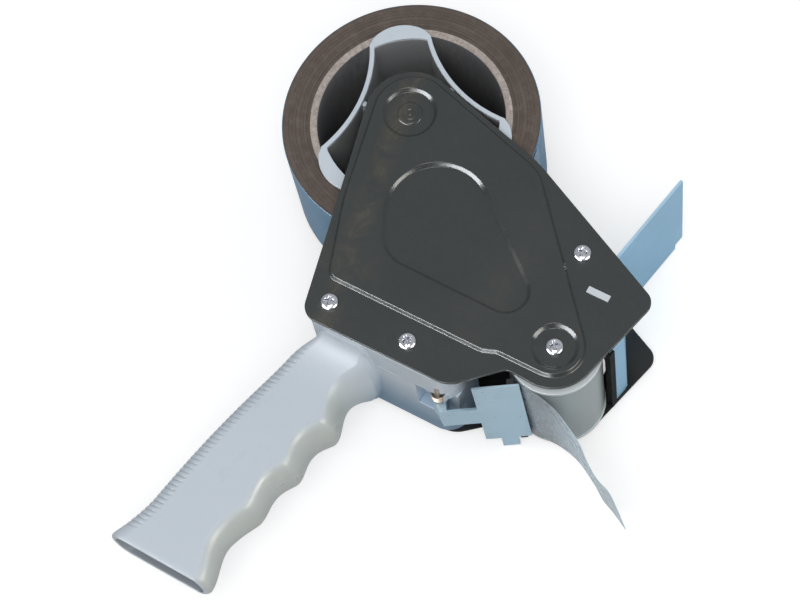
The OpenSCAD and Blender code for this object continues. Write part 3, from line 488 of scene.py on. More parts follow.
def moulding(name, base, shade, rough=0.42, grain=0.35, speck=0.5, side_shade=None, specular=0.5, head_shade=None):
    """Injection-moulded plastic: fine spark-eroded grain, flow clouding and faint handling dirt. Painted shade: the
    handle's side that faces +X takes a warmer grey for how that side is lit, and its head a darker blue low down."""
    look = Look(name, base, rough, specular_ior_level=specular)
    cloud, dirt, grain_field = look.noise(18, 4, 0.55), look.noise(75, 6, 0.7), look.noise(1600, 2, 0.6)
    tint = look.layer(base, shade, cloud, 0.35, 0.7, 0.5)
    tint = look.layer(tint, scaled(shade, 0.82), dirt, 0.6, 0.8, speck)
    tint = look.mix(look.value(look.cells(520), 0.0, 0.09, 0.56 * speck, 0.0), tint, scaled(base, 0.7))
    _, y, z = look.xyz()
    facing = None
    # Painted shade: below the neck, the side that faces +X takes a warmer grey for how that side is lit.
    if side_shade:
        side = look.node("TexCoord").outputs["Normal"]
        facing = look.times(look.value(look.xyz(side)[0], 0.3, 0.75),
                            look.value(y, -(DROP + 5) * MM, -(DROP + 22) * MM))
        tint = look.mix(look.times(facing, look.value(cloud, 0.2, 0.5, 0.7, 1.0)), tint, side_shade)
    # Painted shade: low down, the head takes a darker blue on its underside.
    if head_shade:
        head = look.value(y, -(DROP + 12) * MM, -(DROP + 2) * MM)
        tint = look.mix(look.times(look.value(z, (MID_Z + 8) * MM, (MID_Z - 20) * MM), head), tint, head_shade)
    look.link(tint, "Base Color")
    wear = min(1.0, 2 * speck)
    dull = look.value(dirt, 0.3, 0.75, rough - 0.05 * wear, rough + 0.12 * wear)
    look.link(look.math("SUBTRACT", dull, look.times(facing, 0.2)) if facing else dull, "Roughness")
    look.bump(grain_field, grain, 0.06)
    look.bump(look.noise(60, 3, 0.5), 0.08, 0.25)
    return look.mat


def steel(name, base, rough, brush=(1.0, 1.0, 1.0), turn=0.0, spots=(0.5, 0.5, 0.5), spot_amount=0.3,
          metallic=1.0, brush_bump=0.12, pale_over=None):
    """Plated or ground steel: drawn lines, clouded plating and small tarnish spots, pale grey above a height in mm."""
    look = Look(name, base, rough, metallic=metallic)
    lines = look.noise(700, 5, 0.7, look.mapped(brush, (0, 0, turn)))
    tarnish = look.noise(260, 5, 0.75)
    tint = look.layer(base, scaled(base, 0.86), look.noise(45, 4, 0.6), 0.35, 0.7, 0.6)
    tint = look.layer(tint, tuple(min(1.0, c) for c in scaled(base, 1.12)), lines, 0.3, 0.8, 0.35)
    tint = look.layer(tint, spots, tarnish, 0.62, 0.78, spot_amount)
    if pale_over:
        tint = look.layer(tint, (0.66, 0.7, 0.74), look.xyz()[2], (pale_over - 0.3) * MM, pale_over * MM)
    look.link(tint, "Base Color")
    look.link(look.plus(look.value(lines, 0.25, 0.8, rough - 0.05, rough + 0.08),
                        look.value(tarnish, 0.6, 0.8, 0.0, 0.15)), "Roughness")
    look.bump(lines, brush_bump, 0.03)
    look.bump(look.noise(35, 2, 0.4), 0.06, 0.5)
    return look.mat


def wound_side(name):
    """The side of a tape roll: thousands of film edges, in rings, with dust and pressed patches."""
    look = Look(name, (0.1, 0.073, 0.056), 0.42, specular_ior_level=0.4, coat_weight=0.15, coat_roughness=0.3)
    r = look.radius()
    fine, broad = (look.node("TexNoise", {"W": r, "Scale": scale, "Detail": detail, "Roughness": rough},
                             noise_dimensions="1D").outputs["Fac"]
                   for scale, detail, rough in ((2400, 6, 0.8), (420, 4, 0.6)))
    mottle, patch = look.noise(260, 7, 0.78), look.noise(30, 4, 0.55)
    tint = (0.046, 0.03, 0.022)
    for colour, field, low, high, amount in (
            ((0.118, 0.083, 0.064), fine, 0.3, 0.7, 1.0), ((0.15, 0.115, 0.095), broad, 0.42, 0.66, 0.55),
            ((0.045, 0.031, 0.024), broad, 0.44, 0.3, 0.5), ((0.17, 0.14, 0.12), mottle, 0.5, 0.72, 0.6),
            ((0.04, 0.028, 0.022), mottle, 0.46, 0.28, 0.5), ((0.06, 0.042, 0.033), patch, 0.42, 0.62, 0.4)):
        tint = look.layer(tint, colour, field, low, high, amount)
    look.link(tint, "Base Color")
    look.link(look.value(mottle, 0.3, 0.8, 0.36, 0.55), "Roughness")
    look.bump(fine, 0.3, 0.1)
    look.bump(mottle, 0.2, 0.08)
    return look.mat


def film(name, base, shade, rough, wrinkle, coat, haze, specular=0.5, tip=None, waves=42, wound=None):
    """Glossy polypropylene film: a smooth coat with slack ripples, trapped air and stretch lines. A tip gives a
    colour for the free end and the x in mm where it starts and is full, wound a colour for the part on the roll
    and the distances from the hub in mm where it is full and has gone."""
    look = Look(name, base, rough, specular_ior_level=specular, coat_weight=coat, coat_roughness=0.1)
    ripple, air = look.noise(waves, 2, 0.4, look.mapped((1.0, 1.0, 0.25))), look.noise(200, 5, 0.65)
    tint = look.layer(base, shade, ripple, 0.35, 0.7)
    if tip:
        colour, start, full = tip
        tint = look.layer(tint, colour, look.xyz()[0], start * MM, full * MM)
    if wound:
        colour, full, gone = wound
        tint = look.mix(look.value(look.radius(), full * MM, gone * MM, 1.0, 0.0), tint, colour)
    tint = look.layer(tint, tuple(min(1.0, c + 0.02) for c in scaled(base, 1.15)), air, 0.6, 0.78, haze)
    look.link(tint, "Base Color")
    look.link(look.value(air, 0.35, 0.75, rough, rough + 0.04), "Roughness")
    look.bump(ripple, wrinkle, 0.4)
    look.bump(look.noise(900, 3, 0.6, look.mapped((1.0, 1.0, 0.04))), 0.02, 0.02)
    return look.mat


def paper(name, base, dark, light, scale):
    """Grey board with loose fibres and flecks."""
    look = Look(name, base, 0.85, specular_ior_level=0.25)
    fibre = look.noise(scale, 6, 0.8, look.mapped((1, 1, 0.3)), 0.8)
    tint = look.layer(dark, light, fibre, 0.3, 0.7)
    tint = look.mix(look.value(look.cells(scale * 1.3), 0.0, 0.25, 0.7, 0.0), tint, scaled(base, 0.45))
    look.link(look.layer(tint, base, look.noise(90, 4, 0.6), 0.4, 0.7, 0.4), "Base Color")
    look.bump(fibre, 0.6, 0.12)
    return look.mat


def felt(name, base):
    look = Look(name, base, 0.95, sheen_weight=0.4, sheen_roughness=0.5, specular_ior_level=0.1)
    look.link(look.layer(scaled(base, 0.7), scaled(base, 1.3), look.noise(220, 3, 0.6), 0.3, 0.7), "Base Color")
    look.bump(look.noise(1500, 7, 0.8, distortion=1.5), 0.9, 0.2)
    return look.mat


def rubber(name, base):
    look = Look(name, base, 0.62, specular_ior_level=0.35)
    dust = look.noise(180, 6, 0.75)
    look.link(look.layer(base, (0.09, 0.09, 0.088), dust, 0.5, 0.8, 0.6), "Base Color")
    look.link(look.value(dust, 0.3, 0.8, 0.5, 0.8), "Roughness")
    look.bump(look.noise(900, 3, 0.6), 0.3, 0.06)
    return look.mat


LEFT_BAND = (at((-0.04, 0.1)), at((0.1, -0.85)) - at((-0.04, 0.1)), 6.0)
PAINT = dark_paint("dark_paint", (0.037, 0.041, 0.0405), (0.11, 0.092, 0.06), band=LEFT_BAND)
# Painted shade: a darker copy of the plate paint for the far plate.
PAINT_FAR = dark_paint("dark_paint_far_shaded", (0.022, 0.023, 0.023), (0.07, 0.058, 0.042), patch=0.6, specular=0.3)
# The mount's near-black is its dark paint with painted shade, for where it lies behind the blade.
PAINT_MOUNT = dark_paint("dark_sheet", (0.004, 0.004, 0.0045), (0.014, 0.012, 0.01), 0.5, specular=0.08)
# Painted shade on the handle: a warmer grey on its +X side and a darker blue low on its head.
HANDLE = moulding("handle_moulding", (0.55, 0.605, 0.665), (0.52, 0.575, 0.63), 0.5, side_shade=(0.5, 0.53, 0.51),
                  specular=0.4, head_shade=(0.2, 0.31, 0.42))
# Painted shade: a darker copy of the handle's colour for the faces deep in the rib grooves.
GROOVE = moulding("handle_groove_shade", (0.47, 0.52, 0.575), (0.44, 0.49, 0.54), 0.55)
# Painted shade: a darker copy of the handle's colour for the inside of its hollow.
HOLLOW = moulding("handle_hollow_shade", (0.27, 0.3, 0.34), (0.24, 0.27, 0.3), 0.6)
RIM = moulding("rim_moulding", (0.6, 0.66, 0.72), (0.55, 0.6, 0.66), 0.33, 0.2)
SPOOL = moulding("spool_moulding", (0.28, 0.285, 0.29), (0.31, 0.31, 0.305), 0.3, 0.2, 0.3)
KNOB = moulding("knob_moulding", (0.022, 0.022, 0.024), (0.035, 0.035, 0.036), 0.45, 0.5)
WHITE = moulding("roller_moulding", (0.6, 0.64, 0.66), (0.56, 0.6, 0.62), 0.33, 0.15)
SLEEVE = moulding("roller_sleeve", (0.385, 0.435, 0.44), (0.36, 0.41, 0.415), 0.28, 0.02, 0.05)
STEEL = steel("bright_steel", (0.72, 0.73, 0.75), 0.22, (1, 1, 0.1))
SPRING = steel("spring_wire", (0.34, 0.28, 0.23), 0.35, (1, 1, 0.1), spots=(0.16, 0.1, 0.06))
SCREW = steel("screw_plating", (0.55, 0.56, 0.6), 0.16, spots=(0.2, 0.18, 0.17), spot_amount=0.5, brush_bump=0.02)
# Painted reflection: the light blue given to the plated steel of the retainer plate, the flap and the blade stands for
# a light blue surround that they reflect.
PLATED = steel("plated_sheet", (0.51, 0.68, 0.79), 0.3, (0.12, 1, 1), radians(31.6), (0.36, 0.44, 0.5), 0.2,
               metallic=0.75)
FLAP = steel("flap_plating", (0.33, 0.62, 0.86), 0.34, (1, 0.1, 1), 0.0, (0.36, 0.48, 0.56), 0.15,
             metallic=0.35, pale_over=MID_Z + PLATE_Z)
TAPE_SIDE = wound_side("tape_side")
# Painted reflection: the blue of the roll's outer face stands for a light blue surround mirrored in the brown tape's
# glossy film.
TAPE_FACE = film("tape_face", (0.17, 0.34, 0.52), (0.14, 0.29, 0.45), 0.35, 0.06, 0.0, 0.12, specular=0.2)
# Painted reflection: the loose tape's grey-blue, its light blue free end and the blue where it lies on the roll stand
# for what the brown film reflects.
TAIL = film("loose_tape", (0.26, 0.3, 0.33), (0.24, 0.275, 0.3), 0.26, 0.1, 0.3, 0.06, waves=9,
            tip=((0.54, 0.68, 0.77), ROLLER_AT.x + 6, ROLLER_AT.x + 22), wound=((0.155, 0.31, 0.48), 54, 78))
CORE = paper("cardboard", (0.39, 0.34, 0.31), (0.21, 0.175, 0.155), (0.6, 0.52, 0.48), 520)
# Painted shade: the core's bore takes a dark grey for the shade deep inside it.
CORE_BORE = paper("core_bore_shade", (0.14, 0.141, 0.146), (0.12, 0.12, 0.124), (0.17, 0.17, 0.175), 500)
FELT = felt("brake_felt", (0.09, 0.085, 0.078))
RUBBER = rubber("black_rubber", (0.016, 0.016, 0.017))

# Side plates

NEAR_PTS = places((-0.2079, 0.282), (-0.0735, -0.399), (0.0401, -1), (0.5602, -0.996), (0.6998, -0.824),
                  (0.898, -0.8393), (1, -0.294), (0.4494, 0.045))
NEAR_RADII = [CROWN_R * s for s in (0.94, 6, 0.38, 0.6, 0.26, 0.9, 0.31, 2)]
FAR_PTS = places((-0.03, -0.55), (0.0401, -1), (0.5402, -0.99), (0.6998, -0.812), (0.904, -0.8393),
                 (1.006, -0.294), (0.578, -0.036), (0.4, -0.35))
FAR_RADII = [CROWN_R * s for s in (0, 0.38, 0.6, 0.26, 0.9, 0.31, 0.4, 0)]
PANEL_PTS = places((-0.1565, 0.2332), (-0.033, -0.4664), (0.057, -0.7941), (0.6, -0.7941), (0.645, -0.771),
                   (0.9932, -0.771), (0.4655, -0.0032))
PANEL_RADII = [CROWN_R * s for s in (0.755, 4, 0.22, 0.3, 0.3, 0.57, 1)]
RECESS_AT = places((0.2488, -0.3466), (0.2408, -0.4622), (0.5738, -0.5305))
RECESS_R = [CROWN_R * s for s in (0.995, 0.714, 0.4)]
FAR_BEAD_AT = places((0.7945, -0.6534), (0.72, -0.4), (0.4, -0.76))
FAR_BEAD_R = [CROWN_R * s for s in (0.57, 0.4, 0.3)]
HUB_DISH_R, ROLLER_DISH_R, FAR_DISH_R = 9.3, 7.6, 5.2
SHEET_EDGE, WALL_BEND, SCREW_PLAY = 0.38, 0.22, 0.15
SLOPE, PANEL_SLOPE, FAR_DISH_SLOPE, ROLLER_SPREAD, BEAD_SHIFT = 2.1, 1.6, 1.6, 1.1, 0.6
SLOPE_STEPS = [k / 10 for k in range(11)]


def rise(t):
    """Height share of a pressed wall between its foot at 0 and its top at 1: straight, with soft bends at both."""
    if t > 0.5:
        return 1 - rise(1 - t)
    low = t * t / (2 * WALL_BEND) if t < WALL_BEND else t - WALL_BEND / 2
    return low / (1 - WALL_BEND)


def slot_loop():
    l, h = SLOT_L / 2, SLOT_H / 2
    return [SLOT_AT + Vector(v) for v in ((-l, -h), (l, -h), (l, h), (-l, h))]


def stamped(outline, levels, holes):
    """Pressed sheet: levels are loops with their height over the rim, holes are cut through."""
    loops = [(shrink(outline, SHEET_EDGE * into), -SHEET_EDGE * down) for into, down in ROUND_BENDS[::-1]] + levels
    first_hole = len(loops)
    loops += [(hole, 0.0) for hole in holes]
    points, heights, starts = [], [], []
    for loop, h in loops:
        starts.append(len(points))
        points += list(loop)
        heights += [h] * len(loop)
    tris = triangulate([loop for loop, _ in loops], outline, holes)
    n = len(points)
    top = [(p[0], p[1], RIM_TOP + h) for p, h in zip(points, heights)]
    low = [(p[0], p[1], RIM_TOP - SHEET_T + max(h, 0.0)) for p, h in zip(points, heights)]
    faces = tris + [(n + c, n + b, n + a) for a, b, c in tris]
    for k in [0] + list(range(first_hole, len(loops))):
        quads = stitch(n + starts[k], starts[k], len(loops[k][0]))
        faces += quads if k == 0 else [q[::-1] for q in quads]
    return Shape().add(top + low, faces)


near_levels, far_levels = [], []
for t in SLOPE_STEPS:
    d = -PANEL_SLOPE * (1 - t)
    near_levels.append((filleted(inset(PANEL_PTS, d), inset_radii(PANEL_PTS, PANEL_RADII, d)), EMBOSS_H * rise(t)))
for t in SLOPE_STEPS:
    grow, height = SLOPE * t, EMBOSS_H * rise(t)
    near_levels.append((belt(RECESS_AT, [r + grow for r in RECESS_R]), height))
    near_levels.append((circle((0, 0), HUB_DISH_R + grow, 72), height))
    near_levels.append((circle(ROLLER_AT, ROLLER_DISH_R + grow * ROLLER_SPREAD, 60), height))
    far_levels.append((belt(FAR_BEAD_AT, [r + SLOPE * (BEAD_SHIFT - t) for r in FAR_BEAD_R]), height))
    far_levels.append((circle(ROLLER_AT, FAR_DISH_R + FAR_DISH_SLOPE * t, 48), height))
cut_through = [circle(p, SHANK_R + SCREW_PLAY, 24) for p in SCREW_SPOTS]
stamped(filleted(NEAR_PTS, NEAR_RADII), near_levels, cut_through + [circle((0, 0), BORE_R, 32), slot_loop()]).piece(
    "near_plate", "frame", [PAINT], ["near_side_plate"], "dark_paint")
stamped(bite(filleted(FAR_PTS, FAR_RADII), (0, 0), LOADING_R), far_levels, cut_through + [slot_loop()]).flip().piece(
    "far_plate", "frame", [PAINT_FAR], ["far_side_plate"], "dark_paint")

# Handle

GRIP_LEN, GRIP_HALF, GRIP_WALL = 106.0, 14.5, 3.0
GRIP_TOP = -DROP - GRIP_WALL * 0.5
GRIP_MOUTH = GRIP_TOP - GRIP_LEN
REAR_AT, REAR_LEAN, REAR_BOW, REAR_FLARE, REAR_TUCK = 0.37, 1.69, 0.16, 0.32, 0.28
FRONT_LEAN, FRONT_FLARE, FRONT_NECK = 0.2214, 0.33, 0.25
FLARE_FROM, FLARE_POWER, TAPER_FROM, TAPER_POWER, TAPER, MOUTH_DRIFT = 0.8, 1.6, 0.35, 1.5, 0.34, 0.021
RIDGE_Y, RIDGE_X = GRIP_TOP - GRIP_LEN * 0.2736, GRIP_HALF * 2.39
NECK_LEN, TUCK_LEN, REAR_ROUND, FRONT_ROUND = (GRIP_HALF * share for share in (1.6, 0.7, 0.55, 0.42))
FINGER_PITCH, FINGER_DEPTH = 21.25, 4.3
GROOVES, GROOVE_TOP, GROOVE_SKEW, GROOVE_POWER, RIDGE_ROUND = (1.25, 0.78, 0.62), -1.2, 0.8, 1.3, 0.12
HOLLOW_LEN, MOUTH_CORNER, CREASE = GRIP_LEN * 0.8, GRIP_WALL * 0.7, radians(74)
MOUTH_INSETS, MOUTH_FLAT, MOUTH_WALL, INNER_EDGE = (GRIP_WALL * 0.92, GRIP_WALL * 0.55), 0.3, 0.6, 0.3
RIB_PITCH, RIB_DEPTH, RIB_END = 2.15, 0.5, 5.0
RIB_TOP, RIB_LOW, RIB_FADE, RIB_SIDE_FADE = GRIP_TOP - RIB_END, GRIP_MOUTH + RIB_END, 4, 0.5
RIB_STEPS, FRONT_STEPS, REAR_STEPS, HOLLOW_STEPS, MOUTH_STEPS = 580, 30, 22, 40, 6
REAR_CORNER, FRONT_CORNER, HEAD_EDGE, HEAD_OVERLAP, HIDDEN_EDGE = 1.5, GRIP_WALL * 3.2, 0.5, 3.0, 0.02
BACK_ROOM, COIL_REACH, JOIN_GAP = 3, 4, 0.1
PLAIN_LOOK, HOLLOW_LOOK, GROOVE_LOOK = range(3)


def grip_share(y):
    return (GRIP_TOP - y) / GRIP_LEN


def flare(y):
    return max(0.0, (grip_share(y) - FLARE_FROM) / (1 - FLARE_FROM))


def grip_rear(y):
    s = grip_share(y)
    tuck = max(0.0, 1 - (GRIP_TOP - y) / TUCK_LEN)
    return GRIP_HALF * (REAR_AT - REAR_LEAN * s - REAR_BOW * sin(pi * max(0.0, s))
                        - REAR_FLARE * flare(y) ** FLARE_POWER + REAR_TUCK * tuck * tuck)


def finger(y):
    """Share of the grooves' depth at y: each groove has its own depth, and the ridges between are rounded."""
    u = (RIDGE_Y - y) / FINGER_PITCH
    mouth_u = (RIDGE_Y - GRIP_MOUTH) / FINGER_PITCH
    if u < GROOVE_TOP:
        return 0.0
    part = 1 - u / GROOVE_TOP if u < 0 else (u - floor(u) if u < 2 else (u - 2) / (mouth_u - 2))
    share = GROOVES[0 if u < 0 else 1 if u < 1 else 2]
    depth = share * max(0.0, sin(pi * min(1.0, part) ** GROOVE_SKEW)) ** GROOVE_POWER
    return (hypot(depth, RIDGE_ROUND) - RIDGE_ROUND) * (1 + RIDGE_ROUND)


def neck(y):
    return min(1.0, max(0.0, (y - GRIP_TOP + NECK_LEN) / NECK_LEN))


def grip_front(y):
    f = flare(y)
    return (RIDGE_X - FRONT_LEAN * (RIDGE_Y - y) - FINGER_DEPTH * finger(y)
            + GRIP_HALF * FRONT_FLARE * f * f * (3 - 2 * f) - GRIP_HALF * FRONT_NECK * neck(y) ** 2)


def grip_half(y):
    taper = max(0.0, (grip_share(y) - TAPER_FROM) / (1 - TAPER_FROM))
    return (GRIP_HALF + (PLATE_Z - HEAD_EDGE - GRIP_HALF) * (1 - sqrt(1 - neck(y) ** 2))
            - GRIP_HALF * TAPER * taper ** TAPER_POWER)


def rib(x, y, rear):
    """Depth of the shallow cross ribs of the rear, which fade out over the rounded side."""
    fade = max(0.0, min(1.0, (RIB_TOP - y) / RIB_FADE, (y - RIB_LOW) / RIB_FADE,
                        (REAR_ROUND - (x - rear)) / RIB_SIDE_FADE))
    wave = 0.5 + 0.5 * cos(tau * y / RIB_PITCH)
    return RIB_DEPTH * fade * wave ** 3


def grip_ring(y, side_inset, half_inset, ribbed=False):
    """Section of the grip: a creased bow in front, then the round rear."""
    rear, front, half = grip_rear(y) + side_inset, grip_front(y) - side_inset, grip_half(y) - half_inset
    rear_r, front_r = REAR_ROUND - side_inset, FRONT_ROUND - side_inset
    drift = MOUTH_DRIFT * grip_share(y) ** 4
    ring = []
    for k in range(FRONT_STEPS + 1):
        a = CREASE * (2 * k / FRONT_STEPS - 1)
        out = (cos(a) - cos(CREASE)) / (1 - cos(CREASE))
        ring.append((front - front_r + front_r * out, half * sin(a) / sin(CREASE)))
    for k in range(REAR_STEPS + 1):
        a = pi * (0.5 + k / REAR_STEPS)
        x, z = rear + rear_r + rear_r * cos(a), half * sin(a)
        depth = rib(x, y, rear) if ribbed else 0.0
        ring.append((x - depth * cos(a), z - depth * sin(a)))
    return [(x, y - drift * x, z) for x, z in ring]


def outer_ring(y):
    from_edge = max(0.0, MOUTH_CORNER - (y - GRIP_MOUTH))
    pull = MOUTH_CORNER - sqrt(max(0.0, MOUTH_CORNER ** 2 - from_edge ** 2))
    return grip_ring(y, pull, pull * MOUTH_FLAT, True)


def inner_ring(y):
    up = (y - GRIP_MOUTH) / HOLLOW_LEN
    return grip_ring(y, GRIP_WALL, GRIP_WALL * (MOUTH_WALL + (1 - MOUTH_WALL) * up))


def build_grip(shape):
    """Rings from the hollow's floor out to the mouth and back up the outside, into the head."""
    rings = [inner_ring(GRIP_MOUTH + HOLLOW_LEN * (1 - k / HOLLOW_STEPS)) for k in range(HOLLOW_STEPS)]
    rings.append(inner_ring(GRIP_MOUTH + INNER_EDGE))
    rings.append(grip_ring(GRIP_MOUTH, *MOUTH_INSETS))
    rings += [outer_ring(GRIP_MOUTH + MOUTH_CORNER * (1 - cos(pi / 2 * k / MOUTH_STEPS)))
              for k in range(MOUTH_STEPS + 1)]
    last_round = len(rings) - 1
    rings += [outer_ring(GRIP_MOUTH + MOUTH_CORNER + (GRIP_LEN - MOUTH_CORNER) * k / RIB_STEPS)
              for k in range(1, RIB_STEPS + 1)]
    rings.append([(x, y + HEAD_OVERLAP, z) for x, y, z in rings[-1]])
    sides = len(rings[0])
    shape.add([v for ring in rings for v in ring], loft(len(rings), sides), PLAIN_LOOK)
    # The hollow's faces take the darker look, painted shade.
    shape.looks[:HOLLOW_STEPS * sides] = [HOLLOW_LOOK] * (HOLLOW_STEPS * sides)
    # Faces deep in the rib grooves take the darker look, painted shade.
    for i, ring in enumerate(rings[:-1]):
        rear = min(x for x, _, _ in ring)
        for j, (x, y, _) in enumerate(ring):
            if i > last_round and j > FRONT_STEPS and rib(x, y, rear) > 0.25 * RIB_DEPTH:
                shape.looks[i * sides + j] = GROOVE_LOOK


def build_head(shape):
    """The block between the plates: full outside, open in the middle for the retainer's eye, its pin and coil."""
    a, b, c, d = places((0.07, -0.8), (0.07, -1), (0.565, -1), (0.565, -0.8))
    eye_room = EYE_R + FACE_GAP
    back_x, roof_y = HINGE_AT.x - eye_room * BACK_ROOM, HINGE_AT.y + eye_room
    coil_x = back_x + eye_room * COIL_REACH
    rear, lower = [a] + corner_arc(a, b, c, REAR_CORNER), corner_arc(b, c, d, FRONT_CORNER)
    back = rear + [Vector((back_x, b.y)), Vector((back_x, roof_y))]
    full = rear + lower + [d]
    mouth = back + [Vector((c.x, roof_y)), d]
    narrow = back + [Vector((coil_x, roof_y)), Vector((coil_x, b.y))]
    narrow += [p for p in lower if p.x > coil_x + JOIN_GAP] + [d]
    prism(shape, full, -PLATE_Z, -SLOT_HALF, HEAD_EDGE)
    prism(shape, mouth, -SLOT_HALF, SLOT_HALF, HIDDEN_EDGE)
    prism(shape, narrow, SLOT_HALF, SLOT_HALF + COIL_ROOM, HIDDEN_EDGE)
    prism(shape, full, SLOT_HALF + COIL_ROOM, PLATE_Z, HEAD_EDGE)


handle = Shape()
build_grip(handle)
build_head(handle)
handle.piece("handle_moulded", "frame", [HANDLE, HOLLOW, GROOVE], ["handle"], "grey_moulding", sharp=50)

# Hub, core and roll

LOBE_TURN, LOBE_HALF, WAIST_R, SPOOL_WALL = radians(6.5), radians(19.5), 23.0, 1.9
LOBE_R, LIP_TOP_R, LIP_T = CORE_R - FACE_GAP, CORE_R + 4.4, 1.5
LIP_ARC_R, LIP_SOFT_END = LIP_TOP_R * 0.38, radians(3)
SPOOL_NEAR_Z, SPOOL_FAR_Z = TAPE_Z + LIP_T, -TAPE_Z + FACE_GAP
POCKET_Z, POCKET_R, FLOOR_T, HUB_TUBE_R = SPOOL_FAR_Z + 13.0, 17.0, 2.0, 8.0
FLOOR_WEB_T, TUBE_DROP, SPOOL_ROUND, TIGHT = 2.5, 0.5, 0.4, 0.05
WEB_HALF, WEB_FROM, WEB_TO = 0.95, 7.05, 22.05
NUB_R, NUB_FROM, NUB_INSET, NUB_DROP, NUB_DOME = 1.14, 18.0, 0.57, 2.0, 0.2
LOBE_STEPS, WAIST_STEPS = 10, 16
LIP_EDGE, CORE_CHAMFER, CORE_EDGE = 0.3, 0.3, 0.1
ROLL_RINGS, ROLL_EDGE, RING_DEPTH, RING_LEAST = 26, 0.25, 0.05, 0.4


def spool_outline(d):
    """Three lobes joined by hollow waists, with its wall moved inwards by d."""
    gap_mid = pi / 3
    chord_half = LOBE_R * sin(gap_mid - LOBE_HALF)
    sag = LOBE_R * cos(gap_mid - LOBE_HALF) - WAIST_R
    bow_r = (chord_half ** 2 + sag ** 2) / (2 * sag)
    bow_half = asin(chord_half / bow_r)
    trim = asin(d / LOBE_R) + radians(d / LOBE_R * 30)
    out = []
    for k in range(3):
        mid = k * tau / 3
        out += [ray(LOBE_R - d, mid + s / LOBE_STEPS * (LOBE_HALF - trim)) for s in range(-LOBE_STEPS, LOBE_STEPS + 1)]
        a = mid + gap_mid
        out += [ray(WAIST_R + bow_r, a) + ray(bow_r + d, a + pi - s / WAIST_STEPS * (bow_half - trim / 3))
                for s in range(-WAIST_STEPS, WAIST_STEPS + 1)]
    return turned([p for i, p in enumerate(out) if (p - out[i - 1]).length > TIGHT], LOBE_TURN)


def rim_outline():
    """The spool's outline with the top of each lobe bowed out over the core."""
    centre, third = LIP_TOP_R - LIP_ARC_R, tau / 3
    out = []
    for p in spool_outline(0):
        off = abs((atan2(p.y, p.x) - LOBE_TURN + third / 2) % third - third / 2)
        if p.length > LOBE_R - 0.01 and off <= LOBE_HALF:
            bow = centre * cos(off) + sqrt(LIP_ARC_R ** 2 - (centre * sin(off)) ** 2)
            p = p.normalized() * (LOBE_R + (bow - LOBE_R) * min(1.0, (LOBE_HALF - off) / LIP_SOFT_END))
        out.append(p)
    return out


def build_spool():
    walls, nubs, inner = Shape(), Shape(), spool_outline(SPOOL_WALL)
    tube_top, nub_top = SPOOL_NEAR_Z - TUBE_DROP, SPOOL_NEAR_Z - NUB_DROP
    prism(walls, spool_outline(0), SPOOL_FAR_Z + FLOOR_T, TAPE_Z, TIGHT, [inner])
    prism(walls, spool_outline(SPOOL_WALL / 2), POCKET_Z, POCKET_Z + FLOOR_WEB_T, 2 * TIGHT,
          [circle((0, 0), BORE_R, 32)])
    bearing = [(BORE_R, POCKET_Z), (HUB_TUBE_R, POCKET_Z), (HUB_TUBE_R, tube_top), (BORE_R, tube_top)]
    lathe(walls, rounded(bearing, SPOOL_ROUND), closed=True)
    nub = rounded([(0.0, NUB_FROM), (NUB_R, NUB_FROM), (NUB_R, nub_top), (0.0, nub_top + NUB_DOME)], r=0.3)
    web = ((WEB_FROM, -WEB_HALF), (WEB_TO, -WEB_HALF), (WEB_TO, WEB_HALF), (WEB_FROM, WEB_HALF))
    for k in range(3):
        a = LOBE_TURN + k * tau / 3 + pi / 3
        prism(walls, turned(web, a), POCKET_Z, SPOOL_NEAR_Z - AXLE_R, edge=0.25)
        lathe(nubs, nub, turned([(WAIST_R - SPOOL_WALL - NUB_INSET, 0)], a)[0], 20)
    walls.piece("spool_walls", "hub", [SPOOL], ["hub_spool"], "dark_moulding")
    nubs.piece("spool_nubs", "hub", [RIM], (), "light_moulding")
    prism(Shape(), rim_outline(), TAPE_Z + SEAM, SPOOL_NEAR_Z, LIP_EDGE, [inner], LIP_EDGE).piece(
        "spool_lips", "hub", [RIM], ["spool_rim"], "light_moulding")


def build_disc():
    wall_r, floor_z = POCKET_R + SPOOL_WALL, SPOOL_FAR_Z + FLOOR_T
    profile = [(POCKET_R, POCKET_Z), (POCKET_R, SPOOL_FAR_Z), (LOBE_R, SPOOL_FAR_Z), (LOBE_R, floor_z),
               (wall_r, floor_z), (wall_r, POCKET_Z)]
    lathe(Shape(), rounded(profile[::-1], SPOOL_ROUND)[::-1], steps=120, closed=True).piece(
        "end_disc", "hub", [SPOOL], ["hub_end_disc"], "dark_moulding")


def build_core():
    r0, r1 = CORE_R, CORE_R + CORE_WALL
    half = [(r0, TAPE_Z - CORE_CHAMFER), (r0 + CORE_CHAMFER, TAPE_Z), (r1 - CORE_EDGE, TAPE_Z),
            (r1, TAPE_Z - CORE_EDGE)]
    core = lathe(Shape(), mirrored(half), steps=144)
    # The bore takes the second look, dark grey painted shade.
    lathe(core, [half[0], (r0, CORE_CHAMFER - TAPE_Z)], steps=144, look=1)
    core.piece("core_board", "hub", [CORE, CORE_BORE], ["tape_core"], "cardboard")


def build_roll():
    """The wound tape: faint random rings on the sides, a smooth face outside."""
    r0, r1 = CORE_R + CORE_WALL + TIGHT, ROLL_R - ROLL_EDGE
    side = []
    for k in range(ROLL_RINGS + 1):
        r = r0 + (r1 - r0) * k / ROLL_RINGS
        side.append((r, TAPE_Z - RING_DEPTH * (k % 2) * (RING_LEAST + random.random() * (1 - RING_LEAST))))
    roll = lathe(Shape(), side[::-1] + [(r0, TAPE_Z), (r0, -TAPE_Z)] + [(r, -z) for r, z in side], steps=180)
    lathe(roll, mirrored([(r1, TAPE_Z), (ROLL_R, TAPE_Z - ROLL_EDGE)]), steps=180, look=1)
    roll.piece("roll_wound", "hub", [TAPE_SIDE, TAPE_FACE], ["tape_roll"], "brown_tape")


